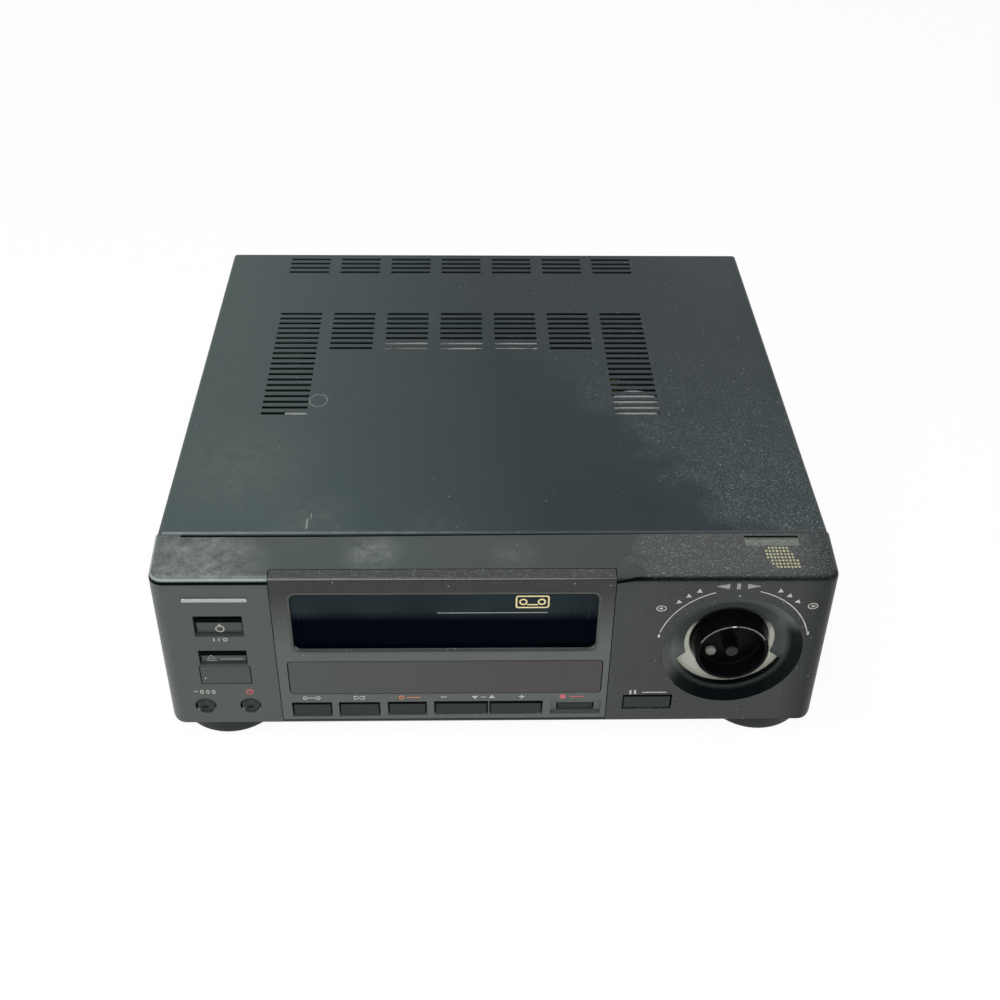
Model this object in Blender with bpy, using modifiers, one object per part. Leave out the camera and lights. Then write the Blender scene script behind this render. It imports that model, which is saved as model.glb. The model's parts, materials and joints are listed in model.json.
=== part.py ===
"""An eight-millimetre video cassette recorder, as separate pieces in metres.

It stands on four feet at Z = 0, its front faces -Y and +X is its right-hand side as one looks at the
front. Inside the functions a place is given as (across, back, up): across from the middle of the
machine, back from the front panel's face, up from the underside of the case.
"""

import math

import bmesh
import bpy
from mathutils import Euler, Matrix, Vector

MM = 0.001

# Clearances shared by all the pieces
GAP = 0.3 * MM
OVERRUN = 1.0 * MM
OVERLAP = 0.4 * MM
MERGE = 0.00001

# The cassette that the machine is built round
CASSETTE_WIDTH = 95.0 * MM
CASSETTE_DEPTH = 62.5 * MM
CASSETTE_THICKNESS = 15.0 * MM
CASSETTE_PLAY = 0.8 * MM

# Front, from left to right: control column, fascia with its window, dial
CONTROL_LEFT_MARGIN = 13.7 * MM
CONTROL_WIDTH = 16.6 * MM
CONTROL_RIGHT_MARGIN = 9.4 * MM
FASCIA_LEFT_MARGIN = 6.2 * MM
WINDOW_PLAY = 2.5 * MM
FASCIA_RIGHT_MARGIN = 5.2 * MM
DIAL_LEFT_MARGIN = 17.2 * MM
DISH_RADIUS = 23.7 * MM
DIAL_RIGHT_MARGIN = 9.3 * MM

# Front, from the underside up: keys, display, window
KEY_ROW_BOTTOM = 1.9 * MM
KEY_ROW_HEIGHT = 9.4 * MM
KEYS_TO_DISPLAY = 2.4 * MM
DISPLAY_HEIGHT = 15.7 * MM
DISPLAY_TO_WINDOW = 4.7 * MM
WINDOW_HEADROOM = 10.2 * MM
WINDOW_TO_TOP = 6.5 * MM

# From front to back: panel, throat, basket, drum, bridge, rear
PANEL_DEPTH = 23.5 * MM
THROAT_REACH = 4.9 * MM
BASKET_SETBACK = 0.6 * MM
DRUM_SETBACK = 24.2 * MM
BRIDGE_SETBACK = 28.0 * MM
BRIDGE_DEPTH = 19.0 * MM
REAR_ZONE = 55.0 * MM
FOOT_HEIGHT = 7.0 * MM
CONNECTOR_PROUD = 9.0 * MM

# Places along the front
WINDOW_WIDTH = CASSETTE_WIDTH + 2 * WINDOW_PLAY
CONTROL_ZONE = CONTROL_LEFT_MARGIN + CONTROL_WIDTH + CONTROL_RIGHT_MARGIN
FASCIA_WIDTH = FASCIA_LEFT_MARGIN + WINDOW_WIDTH + FASCIA_RIGHT_MARGIN
DIAL_ZONE = DIAL_LEFT_MARGIN + 2 * DISH_RADIUS + DIAL_RIGHT_MARGIN
BODY_WIDTH = CONTROL_ZONE + FASCIA_WIDTH + DIAL_ZONE
SIDE = BODY_WIDTH / 2
CONTROL_LEFT = CONTROL_LEFT_MARGIN - SIDE
CONTROL_MIDDLE = CONTROL_LEFT + CONTROL_WIDTH / 2
FASCIA_LEFT = CONTROL_ZONE - SIDE
FASCIA_RIGHT = FASCIA_LEFT + FASCIA_WIDTH
WINDOW_LEFT = FASCIA_LEFT + FASCIA_LEFT_MARGIN
WINDOW_RIGHT = WINDOW_LEFT + WINDOW_WIDTH
DIAL_ACROSS = FASCIA_RIGHT + DIAL_LEFT_MARGIN + DISH_RADIUS
DECK_MIDDLE = (WINDOW_LEFT + WINDOW_RIGHT) / 2

# Heights on the front
KEY_ROW_TOP = KEY_ROW_BOTTOM + KEY_ROW_HEIGHT
DISPLAY_BOTTOM = KEY_ROW_TOP + KEYS_TO_DISPLAY
DISPLAY_TOP = DISPLAY_BOTTOM + DISPLAY_HEIGHT
WINDOW_BOTTOM = DISPLAY_TOP + DISPLAY_TO_WINDOW
WINDOW_TOP = WINDOW_BOTTOM + CASSETTE_THICKNESS + WINDOW_HEADROOM
BODY_HEIGHT = WINDOW_TOP + WINDOW_TO_TOP

# Places from front to back
THROAT_BACK = PANEL_DEPTH + THROAT_REACH
BASKET_FRONT = THROAT_BACK + BASKET_SETBACK
BASKET_BACK = BASKET_FRONT + CASSETTE_DEPTH + GAP
DRUM_BACK = BASKET_BACK + DRUM_SETBACK
BRIDGE_FRONT = DRUM_BACK + BRIDGE_SETBACK
BRIDGE_BACK = BRIDGE_FRONT + BRIDGE_DEPTH
BODY_DEPTH = BRIDGE_BACK + REAR_ZONE
HUB_PROUD = 0.8 * MM
FRONT = (HUB_PROUD - BODY_DEPTH - CONNECTOR_PROUD) / 2

# Cover: folded steel with rows of vent slots
SHEET = 1.0 * MM
COVER_INSET = 0.8 * MM
COVER_LIFT = 0.6 * MM
COVER_BEND = 1.6 * MM
COVER_SIDE = SIDE - COVER_INSET
INNER_SIDE = COVER_SIDE - SHEET - GAP
INNER_TOP = BODY_HEIGHT - SHEET - GAP
VENT_OFFSET = 5.5 * MM
VENT_MIDDLE = DECK_MIDDLE + VENT_OFFSET
VENT_COLUMN_PITCH = 22.0 * MM
VENT_COLUMNS = 7
VENT_LENGTH = 17.0 * MM
VENT_WIDTH = 1.7 * MM
VENT_PITCH = 3.84 * MM
VENT_REAR_MARGIN = 4.2 * MM
VENT_REAR_ROWS = 4
VENT_MAIN_MARGIN = 51.6 * MM
VENT_MAIN_ROWS = 8
VENT_SIDE_ROWS = 20

# Front panel: a moulded shell that tapers towards its face
PANEL_TAPER = 1.3 * MM
PANEL_CORNER = 5.0 * MM
PANEL_FOOT_CORNER = 4.0 * MM
PANEL_CROWN = 3.0 * MM
PANEL_TOE = 1.2 * MM
WALL = 2.5 * MM
TONGUE_DEPTH = 4.0 * MM
TONGUE_THICKNESS = 1.5 * MM

# Centre fascia: a separate moulding that wraps over the panel's top edge
FASCIA_BOTTOM = 1.5 * MM
FASCIA_PROUD = 0.3 * MM
FASCIA_THICKNESS = 2.5 * MM
FASCIA_WRAP = 4.4 * MM
FASCIA_WRAP_THICKNESS = 2.0 * MM
FASCIA_CROWN = 1.0 * MM
FASCIA_BACKING = 2.2 * MM
BACKING_RIM = 1.5 * MM
BACKING_FACE = FASCIA_THICKNESS - FASCIA_PROUD + GAP
BACKING_BACK = BACKING_FACE + FASCIA_BACKING

# Cassette window and its smoked flap
WINDOW_CORNER = 2.5 * MM
WINDOW_LIP = 1.3 * MM
FLAP_MARGIN = 1.0 * MM
FLAP_THICKNESS = 1.8 * MM
FLAP_PIN_RADIUS = 0.9 * MM
FLAP_PIN_LENGTH = 2.4 * MM

# Display window and the tube behind it
DISPLAY_LEFT_MARGIN = 3.2 * MM
DISPLAY_RIGHT_MARGIN = 2.0 * MM
DISPLAY_LEFT = FASCIA_LEFT + DISPLAY_LEFT_MARGIN
DISPLAY_RIGHT = FASCIA_RIGHT - DISPLAY_RIGHT_MARGIN
DISPLAY_CORNER = 1.5 * MM
DISPLAY_FLANGE = 1.0 * MM
DISPLAY_FLANGE_THICKNESS = 1.0 * MM
TUBE_INSET = 3.6 * MM
TUBE_MARGIN = 0.8 * MM
TUBE_SETBACK = 1.4 * MM

# Control column: sensor window, eject and power keys, two round keys below
SENSOR_BOTTOM = 19.0 * MM
SENSOR_HEIGHT = 8.1 * MM
SENSOR_TO_EJECT = 0.7 * MM
EJECT_HEIGHT = 6.6 * MM
EJECT_TO_POWER = 6.3 * MM
POWER_HEIGHT = 9.1 * MM
SENSOR_TOP = SENSOR_BOTTOM + SENSOR_HEIGHT
EJECT_BOTTOM = SENSOR_TOP + SENSOR_TO_EJECT
POWER_BOTTOM = EJECT_BOTTOM + EJECT_HEIGHT + EJECT_TO_POWER
POWER_TOP = POWER_BOTTOM + POWER_HEIGHT
ROUND_KEY_UP = 8.3 * MM
ROUND_KEY_PITCH = 15.3 * MM

# Pause key, below the dial's left side
PAUSE_MARGIN = 5.7 * MM
PAUSE_REACH = 5.6 * MM
PAUSE_BOTTOM = 5.3 * MM
PAUSE_HEIGHT = 7.0 * MM

# Keys in the fascia: left, right, bottom and top, as shares of the fascia's width and the row's height
KEY_ROW_SHARES = {
    "synchro_edit_button": (0.031, 0.154, 0.096, 0.840),
    "edit_button": (0.175, 0.302, 0.096, 0.840),
    "timer_button": (0.325, 0.446, 0.128, 0.851),
    "channel_down_button": (0.468, 0.6355, 0.149, 0.862),
    "channel_up_button": (0.639, 0.804, 0.149, 0.862),
    "record_button": (0.847, 0.964, 0.213, 0.628),
    "record_recess": (0.828, 0.984, 0.160, 0.862),
}


def key_row_place(name):
    """Left, right, bottom and top of a key's opening in the fascia."""
    left, right, bottom, top = KEY_ROW_SHARES[name]
    return (
        FASCIA_LEFT + left * FASCIA_WIDTH,
        FASCIA_LEFT + right * FASCIA_WIDTH,
        KEY_ROW_BOTTOM + bottom * KEY_ROW_HEIGHT,
        KEY_ROW_BOTTOM + top * KEY_ROW_HEIGHT,
    )


RECORD_RECESS = key_row_place("record_recess")
FASCIA_KEYS = {name: key_row_place(name) for name in KEY_ROW_SHARES if name != "record_recess"}
COLUMN_SPAN = (CONTROL_LEFT + GAP, CONTROL_LEFT + CONTROL_WIDTH - GAP)
PANEL_KEYS = {
    "pause_button": (
        FASCIA_RIGHT + PAUSE_MARGIN,
        FASCIA_RIGHT + DIAL_LEFT_MARGIN + PAUSE_REACH,
        PAUSE_BOTTOM,
        PAUSE_BOTTOM + PAUSE_HEIGHT,
    ),
    "power_button": (*COLUMN_SPAN, POWER_BOTTOM, POWER_TOP),
    "eject_button": (*COLUMN_SPAN, EJECT_BOTTOM, EJECT_BOTTOM + EJECT_HEIGHT),
}
KEY_SIZES = {**FASCIA_KEYS, **PANEL_KEYS}
KEY_RECESS = {
    "power_button": 1.4 * MM,
    "eject_button": 1.0 * MM,
    "record_button": 1.4 * MM,
    "pause_button": 0.3 * MM,
}
KEY_HEADROOM = {
    "power_button": 2.2 * MM,
    "eject_button": 1.1 * MM,
}
KEY_STANDARD_RECESS = 0.4 * MM
KEY_STANDARD_HEADROOM = 0.4 * MM
KEY_EDGE = 0.35 * MM
KEY_FLANGE = 0.6 * MM
KEY_FLANGE_THICKNESS = 1.0 * MM
KEY_TRAVEL = 1.2 * MM
STEM_RADIUS = 1.4 * MM
RECORD_RECESS_DEPTH = 1.2 * MM

# Two small round buttons with dished tops
ROUND_KEYS = {
    "counter_reset_button": (CONTROL_LEFT, ROUND_KEY_UP),
    "quick_timer_button": (CONTROL_LEFT + ROUND_KEY_PITCH, ROUND_KEY_UP),
}
ROUND_RADIUS = 3.3 * MM
ROUND_DISH_RADIUS = 2.3 * MM
ROUND_DISH_DEPTH = 1.0 * MM
ROUND_RECESS = 0.6 * MM

# Label strip let into the top of the panel, above the dial
STRIP_OFFSET = 3.2 * MM
STRIP_LENGTH = 18.1 * MM
STRIP_WIDTH = 3.9 * MM
STRIP_MARGIN = 3.8 * MM
STRIP_DEPTH = 0.4 * MM

# Board behind the front panel, with a switch block for each button
BOARD = 1.6 * MM
FRONT_BOARD_FACE = 14.0 * MM
FRONT_BOARD_MARGIN = 6.5 * MM
FRONT_BOARD_TOWER_MARGIN = 3.2 * MM
FRONT_BOARD_STEP_OFFSET = 8.4 * MM
FRONT_BOARD_END = 4.15 * MM
FRONT_BOARD_BOTTOM = 3.2 * MM
FRONT_BOARD_TAIL_HEIGHT = 11.8 * MM
FRONT_BOARD_HEADROOM = 1.1 * MM
FRONT_BOARD_TOWER_HEADROOM = 8.2 * MM
SWITCH_SIZE = 5.4 * MM
SWITCH_DEPTH = 3.5 * MM
SWITCH_ENTRY = 0.7 * MM
EYE_WIDTH = 7.0 * MM
EYE_DEPTH = 8.0 * MM
PILLAR_RADIUS = 2.2 * MM
PILLAR_INSET = 3.0 * MM
PILLAR_DROP = 4.0 * MM
ROUND_KEY_TO_PILLAR = 5.9 * MM
FRONT_BOARD_LEFT = FRONT_BOARD_MARGIN - SIDE
FRONT_BOARD_TOWER = FASCIA_LEFT - FRONT_BOARD_TOWER_MARGIN
FRONT_BOARD_STEP = FASCIA_RIGHT + FRONT_BOARD_STEP_OFFSET
FRONT_BOARD_RIGHT = sum(PANEL_KEYS["pause_button"][:2]) / 2 + FRONT_BOARD_END
FRONT_BOARD_LOW_TOP = FRONT_BOARD_BOTTOM + FRONT_BOARD_TAIL_HEIGHT
FRONT_BOARD_MID_TOP = DISPLAY_TOP + FRONT_BOARD_HEADROOM
FRONT_BOARD_TOP = POWER_TOP + FRONT_BOARD_TOWER_HEADROOM
STEM_END = FRONT_BOARD_FACE - SWITCH_DEPTH + SWITCH_ENTRY
FRONT_PILLARS = (
    (CONTROL_LEFT + ROUND_KEY_PITCH / 2, ROUND_KEY_UP + ROUND_KEY_TO_PILLAR),
    (FRONT_BOARD_LEFT + PILLAR_INSET, FRONT_BOARD_TOP - PILLAR_DROP),
    (FRONT_BOARD_STEP - PILLAR_INSET, (FRONT_BOARD_LOW_TOP + FRONT_BOARD_MID_TOP) / 2),
)

# Jog and shuttle dial: a dished seat in the panel, a shuttle ring and a jog hub
DIAL_UP = 32.8 * MM
DISH_SLOPE = 4.5 * MM
DISH_LIP = 3.8 * MM
DISH_STEP_RADIUS = DISH_RADIUS - DISH_SLOPE
DISH_MOUTH_RADIUS = DISH_STEP_RADIUS - DISH_LIP
DISH_STEP_DEPTH = 3.4 * MM
DISH_MOUTH_DEPTH = 5.1 * MM
DISH_BACK = 5.6 * MM
DISH_RIM = 2.1 * MM
DISH_SECTOR = 140.0
SHUTTLE_HIDDEN = 1.6 * MM
SHUTTLE_SHOWN = 1.2 * MM
SHUTTLE_OUTER = DISH_STEP_RADIUS + SHUTTLE_HIDDEN
SHUTTLE_INNER = DISH_MOUTH_RADIUS - SHUTTLE_SHOWN
SHUTTLE_THICKNESS = 2.5 * MM
SHUTTLE_CONE = 0.5 * MM
SHUTTLE_LUG_INSET = 1.8 * MM
SHUTTLE_LUG_IN = SHUTTLE_INNER + SHUTTLE_LUG_INSET
SHUTTLE_LUG_OUT = SHUTTLE_OUTER - SHUTTLE_LUG_INSET
SHUTTLE_LUG_WIDTH = 4.0 * MM
SHUTTLE_LUG_LENGTH = 3.0 * MM
STOP_PIN_RADIUS = 1.0 * MM
STOP_PIN_AT = (SHUTTLE_LUG_IN + SHUTTLE_LUG_OUT) / 2
STOP_PIN_TURN = 82.0
HUB_CLEARANCE = 0.4 * MM
HUB_TAPER = 1.6 * MM
HUB_ROOT_RADIUS = SHUTTLE_INNER - HUB_CLEARANCE
HUB_RIM_RADIUS = HUB_ROOT_RADIUS - HUB_TAPER
HUB_WALL = 1.3 * MM
HUB_FLOOR = 1.5 * MM
HUB_BACK = 6.9 * MM
JOG_SHAFT_RADIUS = 2.4 * MM
JOG_SHAFT_END = 14.0 * MM
JOG_FLAT = 0.7 * MM
HUB_PEG_RADIUS = 1.8 * MM
HUB_PEG_ACROSS = -6.0 * MM
HUB_PEG_DROP = 4.2 * MM
HUB_PEG_HEIGHT = 1.2 * MM
ENCODER_MARGIN = 0.7 * MM
ENCODER_RADIUS = SHUTTLE_OUTER + ENCODER_MARGIN
ENCODER_NOSE_BACK = 12.0 * MM
ENCODER_BACK = 15.7 * MM
SHUTTLE_BOARD_MARGIN = 1.2 * MM
SHUTTLE_BOARD_HALF = DISH_RADIUS + SHUTTLE_BOARD_MARGIN
DIAL_PILLAR_REACH = DISH_RADIUS - SHUTTLE_BOARD_MARGIN
DIAL_LOW_PILLAR_SHARE = 0.57
DIAL_LOW_PILLAR_LIFT = 4.7 * MM
DIAL_PILLARS = tuple(
    (side * reach, up)
    for side in (-1, 1)
    for reach, up in (
        (DIAL_PILLAR_REACH, DIAL_UP + DIAL_PILLAR_REACH),
        (DIAL_LOW_PILLAR_SHARE * DISH_RADIUS, WALL + DIAL_LOW_PILLAR_LIFT),
    )
)

# Base, rear and feet
PAN_LIP = 12.0 * MM
DECK_PILLAR_RADIUS = 3.0 * MM
STANDOFF_RADIUS = 2.5 * MM
REAR_SHEET = 1.2 * MM
REAR_FACE = BODY_DEPTH
REAR_INSIDE = REAR_FACE - REAR_SHEET
PAN_FRONT = PANEL_DEPTH + GAP
PAN_BACK = REAR_INSIDE - GAP
FOOT_RADIUS = 16.0 * MM
FOOT_TOP_RADIUS = 14.6 * MM
FOOT_EDGE = 1.0 * MM
FOOT_RECESS_RADIUS = 5.0 * MM
FOOT_RECESS_DEPTH = 3.5 * MM
FOOT_SIDE_MARGIN = 2.5 * MM
FOOT_FRONT_MARGIN = 3.0 * MM
FOOT_REAR_MARGIN = 6.0 * MM
FOOT_ACROSS = SIDE - FOOT_SIDE_MARGIN - FOOT_RADIUS
FOOT_FRONT = FOOT_FRONT_MARGIN + FOOT_RADIUS
FOOT_REAR = BODY_DEPTH - FOOT_REAR_MARGIN - FOOT_RADIUS

# Throat that guides the cassette from the flap to the basket
THROAT_FRONT = 5.0 * MM
THROAT_WALL = 1.5 * MM
THROAT_LEAD = 2.1 * MM
THROAT_STEP = 0.2 * MM
THROAT_HEADROOM = 2.3 * MM
CASSETTE_RISE = 2.9 * MM
BASKET_FLOOR = WINDOW_BOTTOM + CASSETTE_RISE
THROAT_FRONT_FLOOR = WINDOW_BOTTOM - THROAT_LEAD
THROAT_BACK_FLOOR = BASKET_FLOOR - THROAT_STEP
THROAT_TOP = WINDOW_TOP - THROAT_HEADROOM

# Boards under the deck
BOARD_UNDERSIDE = 3.4 * MM
BOARD_TOP = BOARD_UNDERSIDE + BOARD
UNDER_DECK = 12.5 * MM
DECK_TOP = BOARD_TOP + UNDER_DECK

# Cassette basket and its lift
BASKET_WALL = 1.0 * MM
BASKET_LEDGE = 7.0 * MM
BASKET_REST = 0.8 * MM
BASKET_PIN_RADIUS = 1.4 * MM
BASKET_PIN_FRONT_INSET = 11.0 * MM
BASKET_PIN_BACK_INSET = 3.8 * MM
BASKET_INSIDE = CASSETTE_WIDTH + 2 * CASSETTE_PLAY
BASKET_HALF = BASKET_INSIDE / 2 + BASKET_WALL
BASKET_LEFT = DECK_MIDDLE - BASKET_HALF
BASKET_RIGHT = DECK_MIDDLE + BASKET_HALF
BASKET_TOP = BASKET_FLOOR + CASSETTE_THICKNESS + CASSETTE_PLAY + BASKET_WALL
BASKET_DROP = BASKET_FLOOR - BASKET_WALL - DECK_TOP - BASKET_REST
BASKET_PIN_UP = BASKET_FLOOR + CASSETTE_THICKNESS / 2
BASKET_PINS = (BASKET_FRONT + BASKET_PIN_FRONT_INSET, BASKET_BACK - BASKET_PIN_BACK_INSET)
LIFT_GAP = 4.0 * MM
LIFT_PLATE = 1.2 * MM
LIFT_HEADROOM = 1.2 * MM
LIFT_FLANGE = 8.0 * MM
LIFT_LEFT_TAIL = 20.2 * MM
LIFT_RIGHT_TAIL = 8.2 * MM
LIFT_PLATE_TOP = BASKET_TOP + LIFT_HEADROOM
LIFT_LEFT_BACK = BASKET_BACK + LIFT_LEFT_TAIL
LIFT_RIGHT_BACK = BASKET_BACK + LIFT_RIGHT_TAIL
LIFT_LEFT_IN = BASKET_LEFT - LIFT_GAP
LIFT_RIGHT_IN = BASKET_RIGHT + LIFT_GAP
RACK_SETBACK = 31.0 * MM
RACK_DEPTH = 4.0 * MM
RACK_HEADROOM = 4.8 * MM
RACK_WIDTH = 2.9 * MM
RACK_FRONT = BASKET_FRONT + RACK_SETBACK
RACK_PITCH_LINE = RACK_FRONT + RACK_DEPTH
RACK_BOTTOM = BASKET_FLOOR - BASKET_WALL
RACK_TOP = BASKET_TOP + RACK_HEADROOM
LIFT_TEETH = 16
LIFT_GEAR_RISE = 1.5 * MM
LIFT_GEAR_UP = BASKET_FLOOR + LIFT_GEAR_RISE
LIFT_GEAR_WIDTH = 2.4 * MM
LIFT_AXLE_RADIUS = 1.5 * MM
LIFT_AXLE_REACH = 3.2 * MM
LIFT_WHEEL_RADIUS = 8.0 * MM
LIFT_WHEEL_WIDTH = 1.8 * MM
LIFT_MOTOR_RADIUS = 4.6 * MM
LIFT_MOTOR_LENGTH = 22.0 * MM
LIFT_MOTOR_RISE = 0.9 * MM
LIFT_MOTOR_OFFSET = 3.7 * MM
LIFT_MOTOR_BRACKET = 2.0 * MM
LIFT_MOTOR_UP = DECK_TOP + LIFT_MOTOR_RISE + LIFT_MOTOR_RADIUS
LIFT_MOTOR_ACROSS = LIFT_RIGHT_IN + LIFT_MOTOR_OFFSET + LIFT_MOTOR_RADIUS

# Deck plate, sized by the basket above it and the bridge behind
DECK_PLATE = 1.5 * MM
DECK_SIDE = 8.7 * MM
DECK_LEAD = 2.0 * MM
DECK_TAIL = 3.0 * MM
DECK_PILLAR_INSET = 5.0 * MM
DECK_HALF_WIDTH = BASKET_HALF + DECK_SIDE
DECK_FRONT = BASKET_FRONT - DECK_LEAD
DECK_BACK = BRIDGE_BACK + DECK_TAIL
DECK_PILLARS = tuple(
    (DECK_MIDDLE + side * (DECK_HALF_WIDTH - DECK_PILLAR_INSET), back)
    for side in (-1, 1)
    for back in (DECK_FRONT + DECK_PILLAR_INSET, DECK_BACK - DECK_PILLAR_INSET)
)

# Teeth of the gears and the rack
MODULE = 1.0 * MM
ADDENDUM = 0.85 * MM
DEDENDUM = 1.15 * MM
ROOT_SHARE = 0.33
TIP_SHARE = 0.12
LIFT_PITCH_RADIUS = LIFT_TEETH * MODULE / 2
LIFT_GEAR_BACK = RACK_PITCH_LINE + LIFT_PITCH_RADIUS

# Loading ring round the drum
RING_TEETH = 62
RING_TOOTH_ARC = 32
RING_TURN = 150.0
RING_PITCH_RADIUS = RING_TEETH * MODULE / 2
RING_BAND = 7.5 * MM
RING_INNER = RING_PITCH_RADIUS - RING_BAND
RING_LOW = 0.4 * MM
RING_THICKNESS = 1.9 * MM
RING_POST_INSET = 4.0 * MM
RING_POST_AT = RING_PITCH_RADIUS - RING_POST_INSET
RING_POST_RADIUS = 2.2 * MM
RING_POST_TOP = 17.0 * MM
RING_POST_ANGLES = (-115.0, -65.0)
PINION_TEETH = 12
PINION_PITCH_RADIUS = PINION_TEETH * MODULE / 2
PINION_ACROSS = DECK_MIDDLE - RING_PITCH_RADIUS - PINION_PITCH_RADIUS
PINION_SHAFT_RADIUS = 1.5 * MM
RING_MOTOR_RADIUS = 8.0 * MM
RING_MOTOR_LIFT = 1.4 * MM
RING_MOTOR_BASE = 2.6 * MM
RING_MOTOR_BOTTOM = BOARD_TOP + RING_MOTOR_LIFT
PINION_SHAFT_BOTTOM = RING_MOTOR_BOTTOM + RING_MOTOR_BASE

# Reels and the idler between them
REEL_OFFSET = 23.0 * MM
REEL_FLANGE_RADIUS = 12.0 * MM
REEL_SKIRT_RADIUS = 6.0 * MM
REEL_HUB_RADIUS = 4.4 * MM
REEL_HUB_TOP = 8.4 * MM
REEL_FLANGE_LOW = 1.8 * MM
REEL_FLANGE_HIGH = 3.6 * MM
REEL_SPLINE = 0.7 * MM
SPINDLE_RADIUS = 1.2 * MM
SPINDLE_TOP = 9.6 * MM
IDLER_SWING = 3.0 * MM
IDLER_RADIUS = REEL_OFFSET - REEL_FLANGE_RADIUS - IDLER_SWING
IDLER_WIDTH = 5.0 * MM
IDLER_ARM_LENGTH = 22.0 * MM
IDLER_CLEARANCE = 4.15 * MM
IDLER_PIVOT_RADIUS = 1.5 * MM
IDLER_PIVOT_TOP = 4.5 * MM
ARM_THICKNESS = 1.2 * MM
IDLER_PIVOT_BACK = DRUM_BACK - RING_PITCH_RADIUS - ADDENDUM - IDLER_CLEARANCE
REEL_BACK = IDLER_PIVOT_BACK - IDLER_ARM_LENGTH

# Video head drum
DRUM_RADIUS = 20.0 * MM
DRUM_TILT = 5.0
DRUM_FOOT_MARGIN = 3.1 * MM
DRUM_FOOT_RADIUS = DRUM_RADIUS + DRUM_FOOT_MARGIN
DRUM_FOOT_HEIGHT = 2.1 * MM
DRUM_LOWER_BOTTOM = 2.3 * MM
DRUM_LOWER_TOP = 11.0 * MM
DRUM_SPLIT = 0.4 * MM
DRUM_UPPER_BOTTOM = DRUM_LOWER_TOP + DRUM_SPLIT
DRUM_UPPER_TOP = 21.5 * MM
DRUM_CAP_RADIUS = 12.0 * MM
DRUM_CAP_RECESS = 1.6 * MM
DRUM_NOSE_RADIUS = 4.5 * MM
DRUM_SHAFT_RADIUS = 2.5 * MM
DRUM_ROTOR_RADIUS = 15.0 * MM
DRUM_ROTOR_TOP = -3.5 * MM
DRUM_ROTOR_CLEARANCE = 3.9 * MM
DRUM_ROTOR_BOTTOM = DRUM_ROTOR_CLEARANCE - UNDER_DECK
DRUM_SHAFT_HOLE = 3.4 * MM

# Capstan, pinch arm and pinch roller
CAPSTAN_ACROSS = 36.0 * MM
CAPSTAN_LEAD = 18.0 * MM
CAPSTAN_BACK = DRUM_BACK - CAPSTAN_LEAD
CAPSTAN_RADIUS = 1.25 * MM
CAPSTAN_HEIGHT = 16.5 * MM
CAPSTAN_TOP = DECK_TOP + CAPSTAN_HEIGHT
FLYWHEEL_RADIUS = 15.0 * MM
FLYWHEEL_LIFT = 3.4 * MM
FLYWHEEL_DROP = 1.4 * MM
CAPSTAN_BOTTOM = BOARD_TOP + FLYWHEEL_LIFT
FLYWHEEL_TOP = DECK_TOP - DECK_PLATE - FLYWHEEL_DROP
PINCH_OFFSET = 11.6 * MM
PINCH_SETBACK = 12.0 * MM
PINCH_PIVOT_ACROSS = CAPSTAN_ACROSS + PINCH_OFFSET
PINCH_PIVOT_BACK = CAPSTAN_BACK + PINCH_SETBACK
PINCH_ARM_LENGTH = 11.2 * MM
PINCH_REST_ANGLE = 186.0
PINCH_PIVOT_RADIUS = 1.5 * MM
PINCH_HUB_RADIUS = 3.2 * MM
PINCH_ARM_LOW = 2.8 * MM
PINCH_HUB_TOP = 7.0 * MM
PINCH_POST_TOP = 8.5 * MM
PINCH_RADIUS = 5.0 * MM
PINCH_PIN_RADIUS = 1.2 * MM
PINCH_ROLLER_HEIGHT = 11.0 * MM

# Bridge over the deck's rear and the head amplifier under it
BRIDGE_LEFT_REACH = 29.4 * MM
BRIDGE_RIGHT_REACH = 40.6 * MM
BRIDGE_LEFT = DECK_MIDDLE - BRIDGE_LEFT_REACH
BRIDGE_RIGHT = DECK_MIDDLE + BRIDGE_RIGHT_REACH
BRIDGE_TOP = LIFT_PLATE_TOP
BRIDGE_LEG_INSET = 3.0 * MM
BRIDGE_WINDOW_INSET = 5.0 * MM
BRIDGE_WINDOW_GAP = 12.0 * MM
AMP_INSET = 8.0 * MM
AMP_HEIGHT = 11.0 * MM
AMP_MARGIN = 1.5 * MM

# Boards and power supply; places on a board are shares of its width and length
BOARD_SIDE_MARGIN = 6.5 * MM
BOARD_FRONT_MARGIN = 6.5 * MM
BOARD_REAR_MARGIN = 5.0 * MM
BOARD_SPLIT = 3.5 * MM
POWER_BOARD_MARGIN = 4.6 * MM
POWER_BOARD_SIDE_MARGIN = 4.5 * MM
POWER_BOARD_REAR_MARGIN = 21.0 * MM
POWER_BOARD_LENGTH = 135.0 * MM
POWER_BOARD_LEFT = DECK_MIDDLE + DECK_HALF_WIDTH + POWER_BOARD_MARGIN
POWER_BOARD_RIGHT = SIDE - POWER_BOARD_SIDE_MARGIN
POWER_BOARD_BACK = BODY_DEPTH - POWER_BOARD_REAR_MARGIN
POWER_BOARD_FRONT = POWER_BOARD_BACK - POWER_BOARD_LENGTH
MAIN_BOARD_LEFT = BOARD_SIDE_MARGIN - SIDE
MAIN_BOARD_RIGHT = POWER_BOARD_LEFT - BOARD_SPLIT
MAIN_BOARD_FRONT = PANEL_DEPTH + BOARD_FRONT_MARGIN
MAIN_BOARD_BACK = BODY_DEPTH - BOARD_REAR_MARGIN
CHIP_HEIGHT = 2.0 * MM
CHIP_SHARES = (
    (0.444, 0.809, 0.049),
    (0.660, 0.842, 0.060),
    (0.862, 0.874, 0.044),
    (0.094, 0.164, 0.044),
    (0.094, 0.492, 0.049),
)
SMALL_CAPACITOR_RADIUS = 5.0 * MM
SMALL_CAPACITOR_HEIGHT = 20.0 * MM
SMALL_CAPACITOR_MARGIN = 3.0 * MM
SMALL_CAPACITOR_SHARES = (0.726, 0.859)
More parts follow.
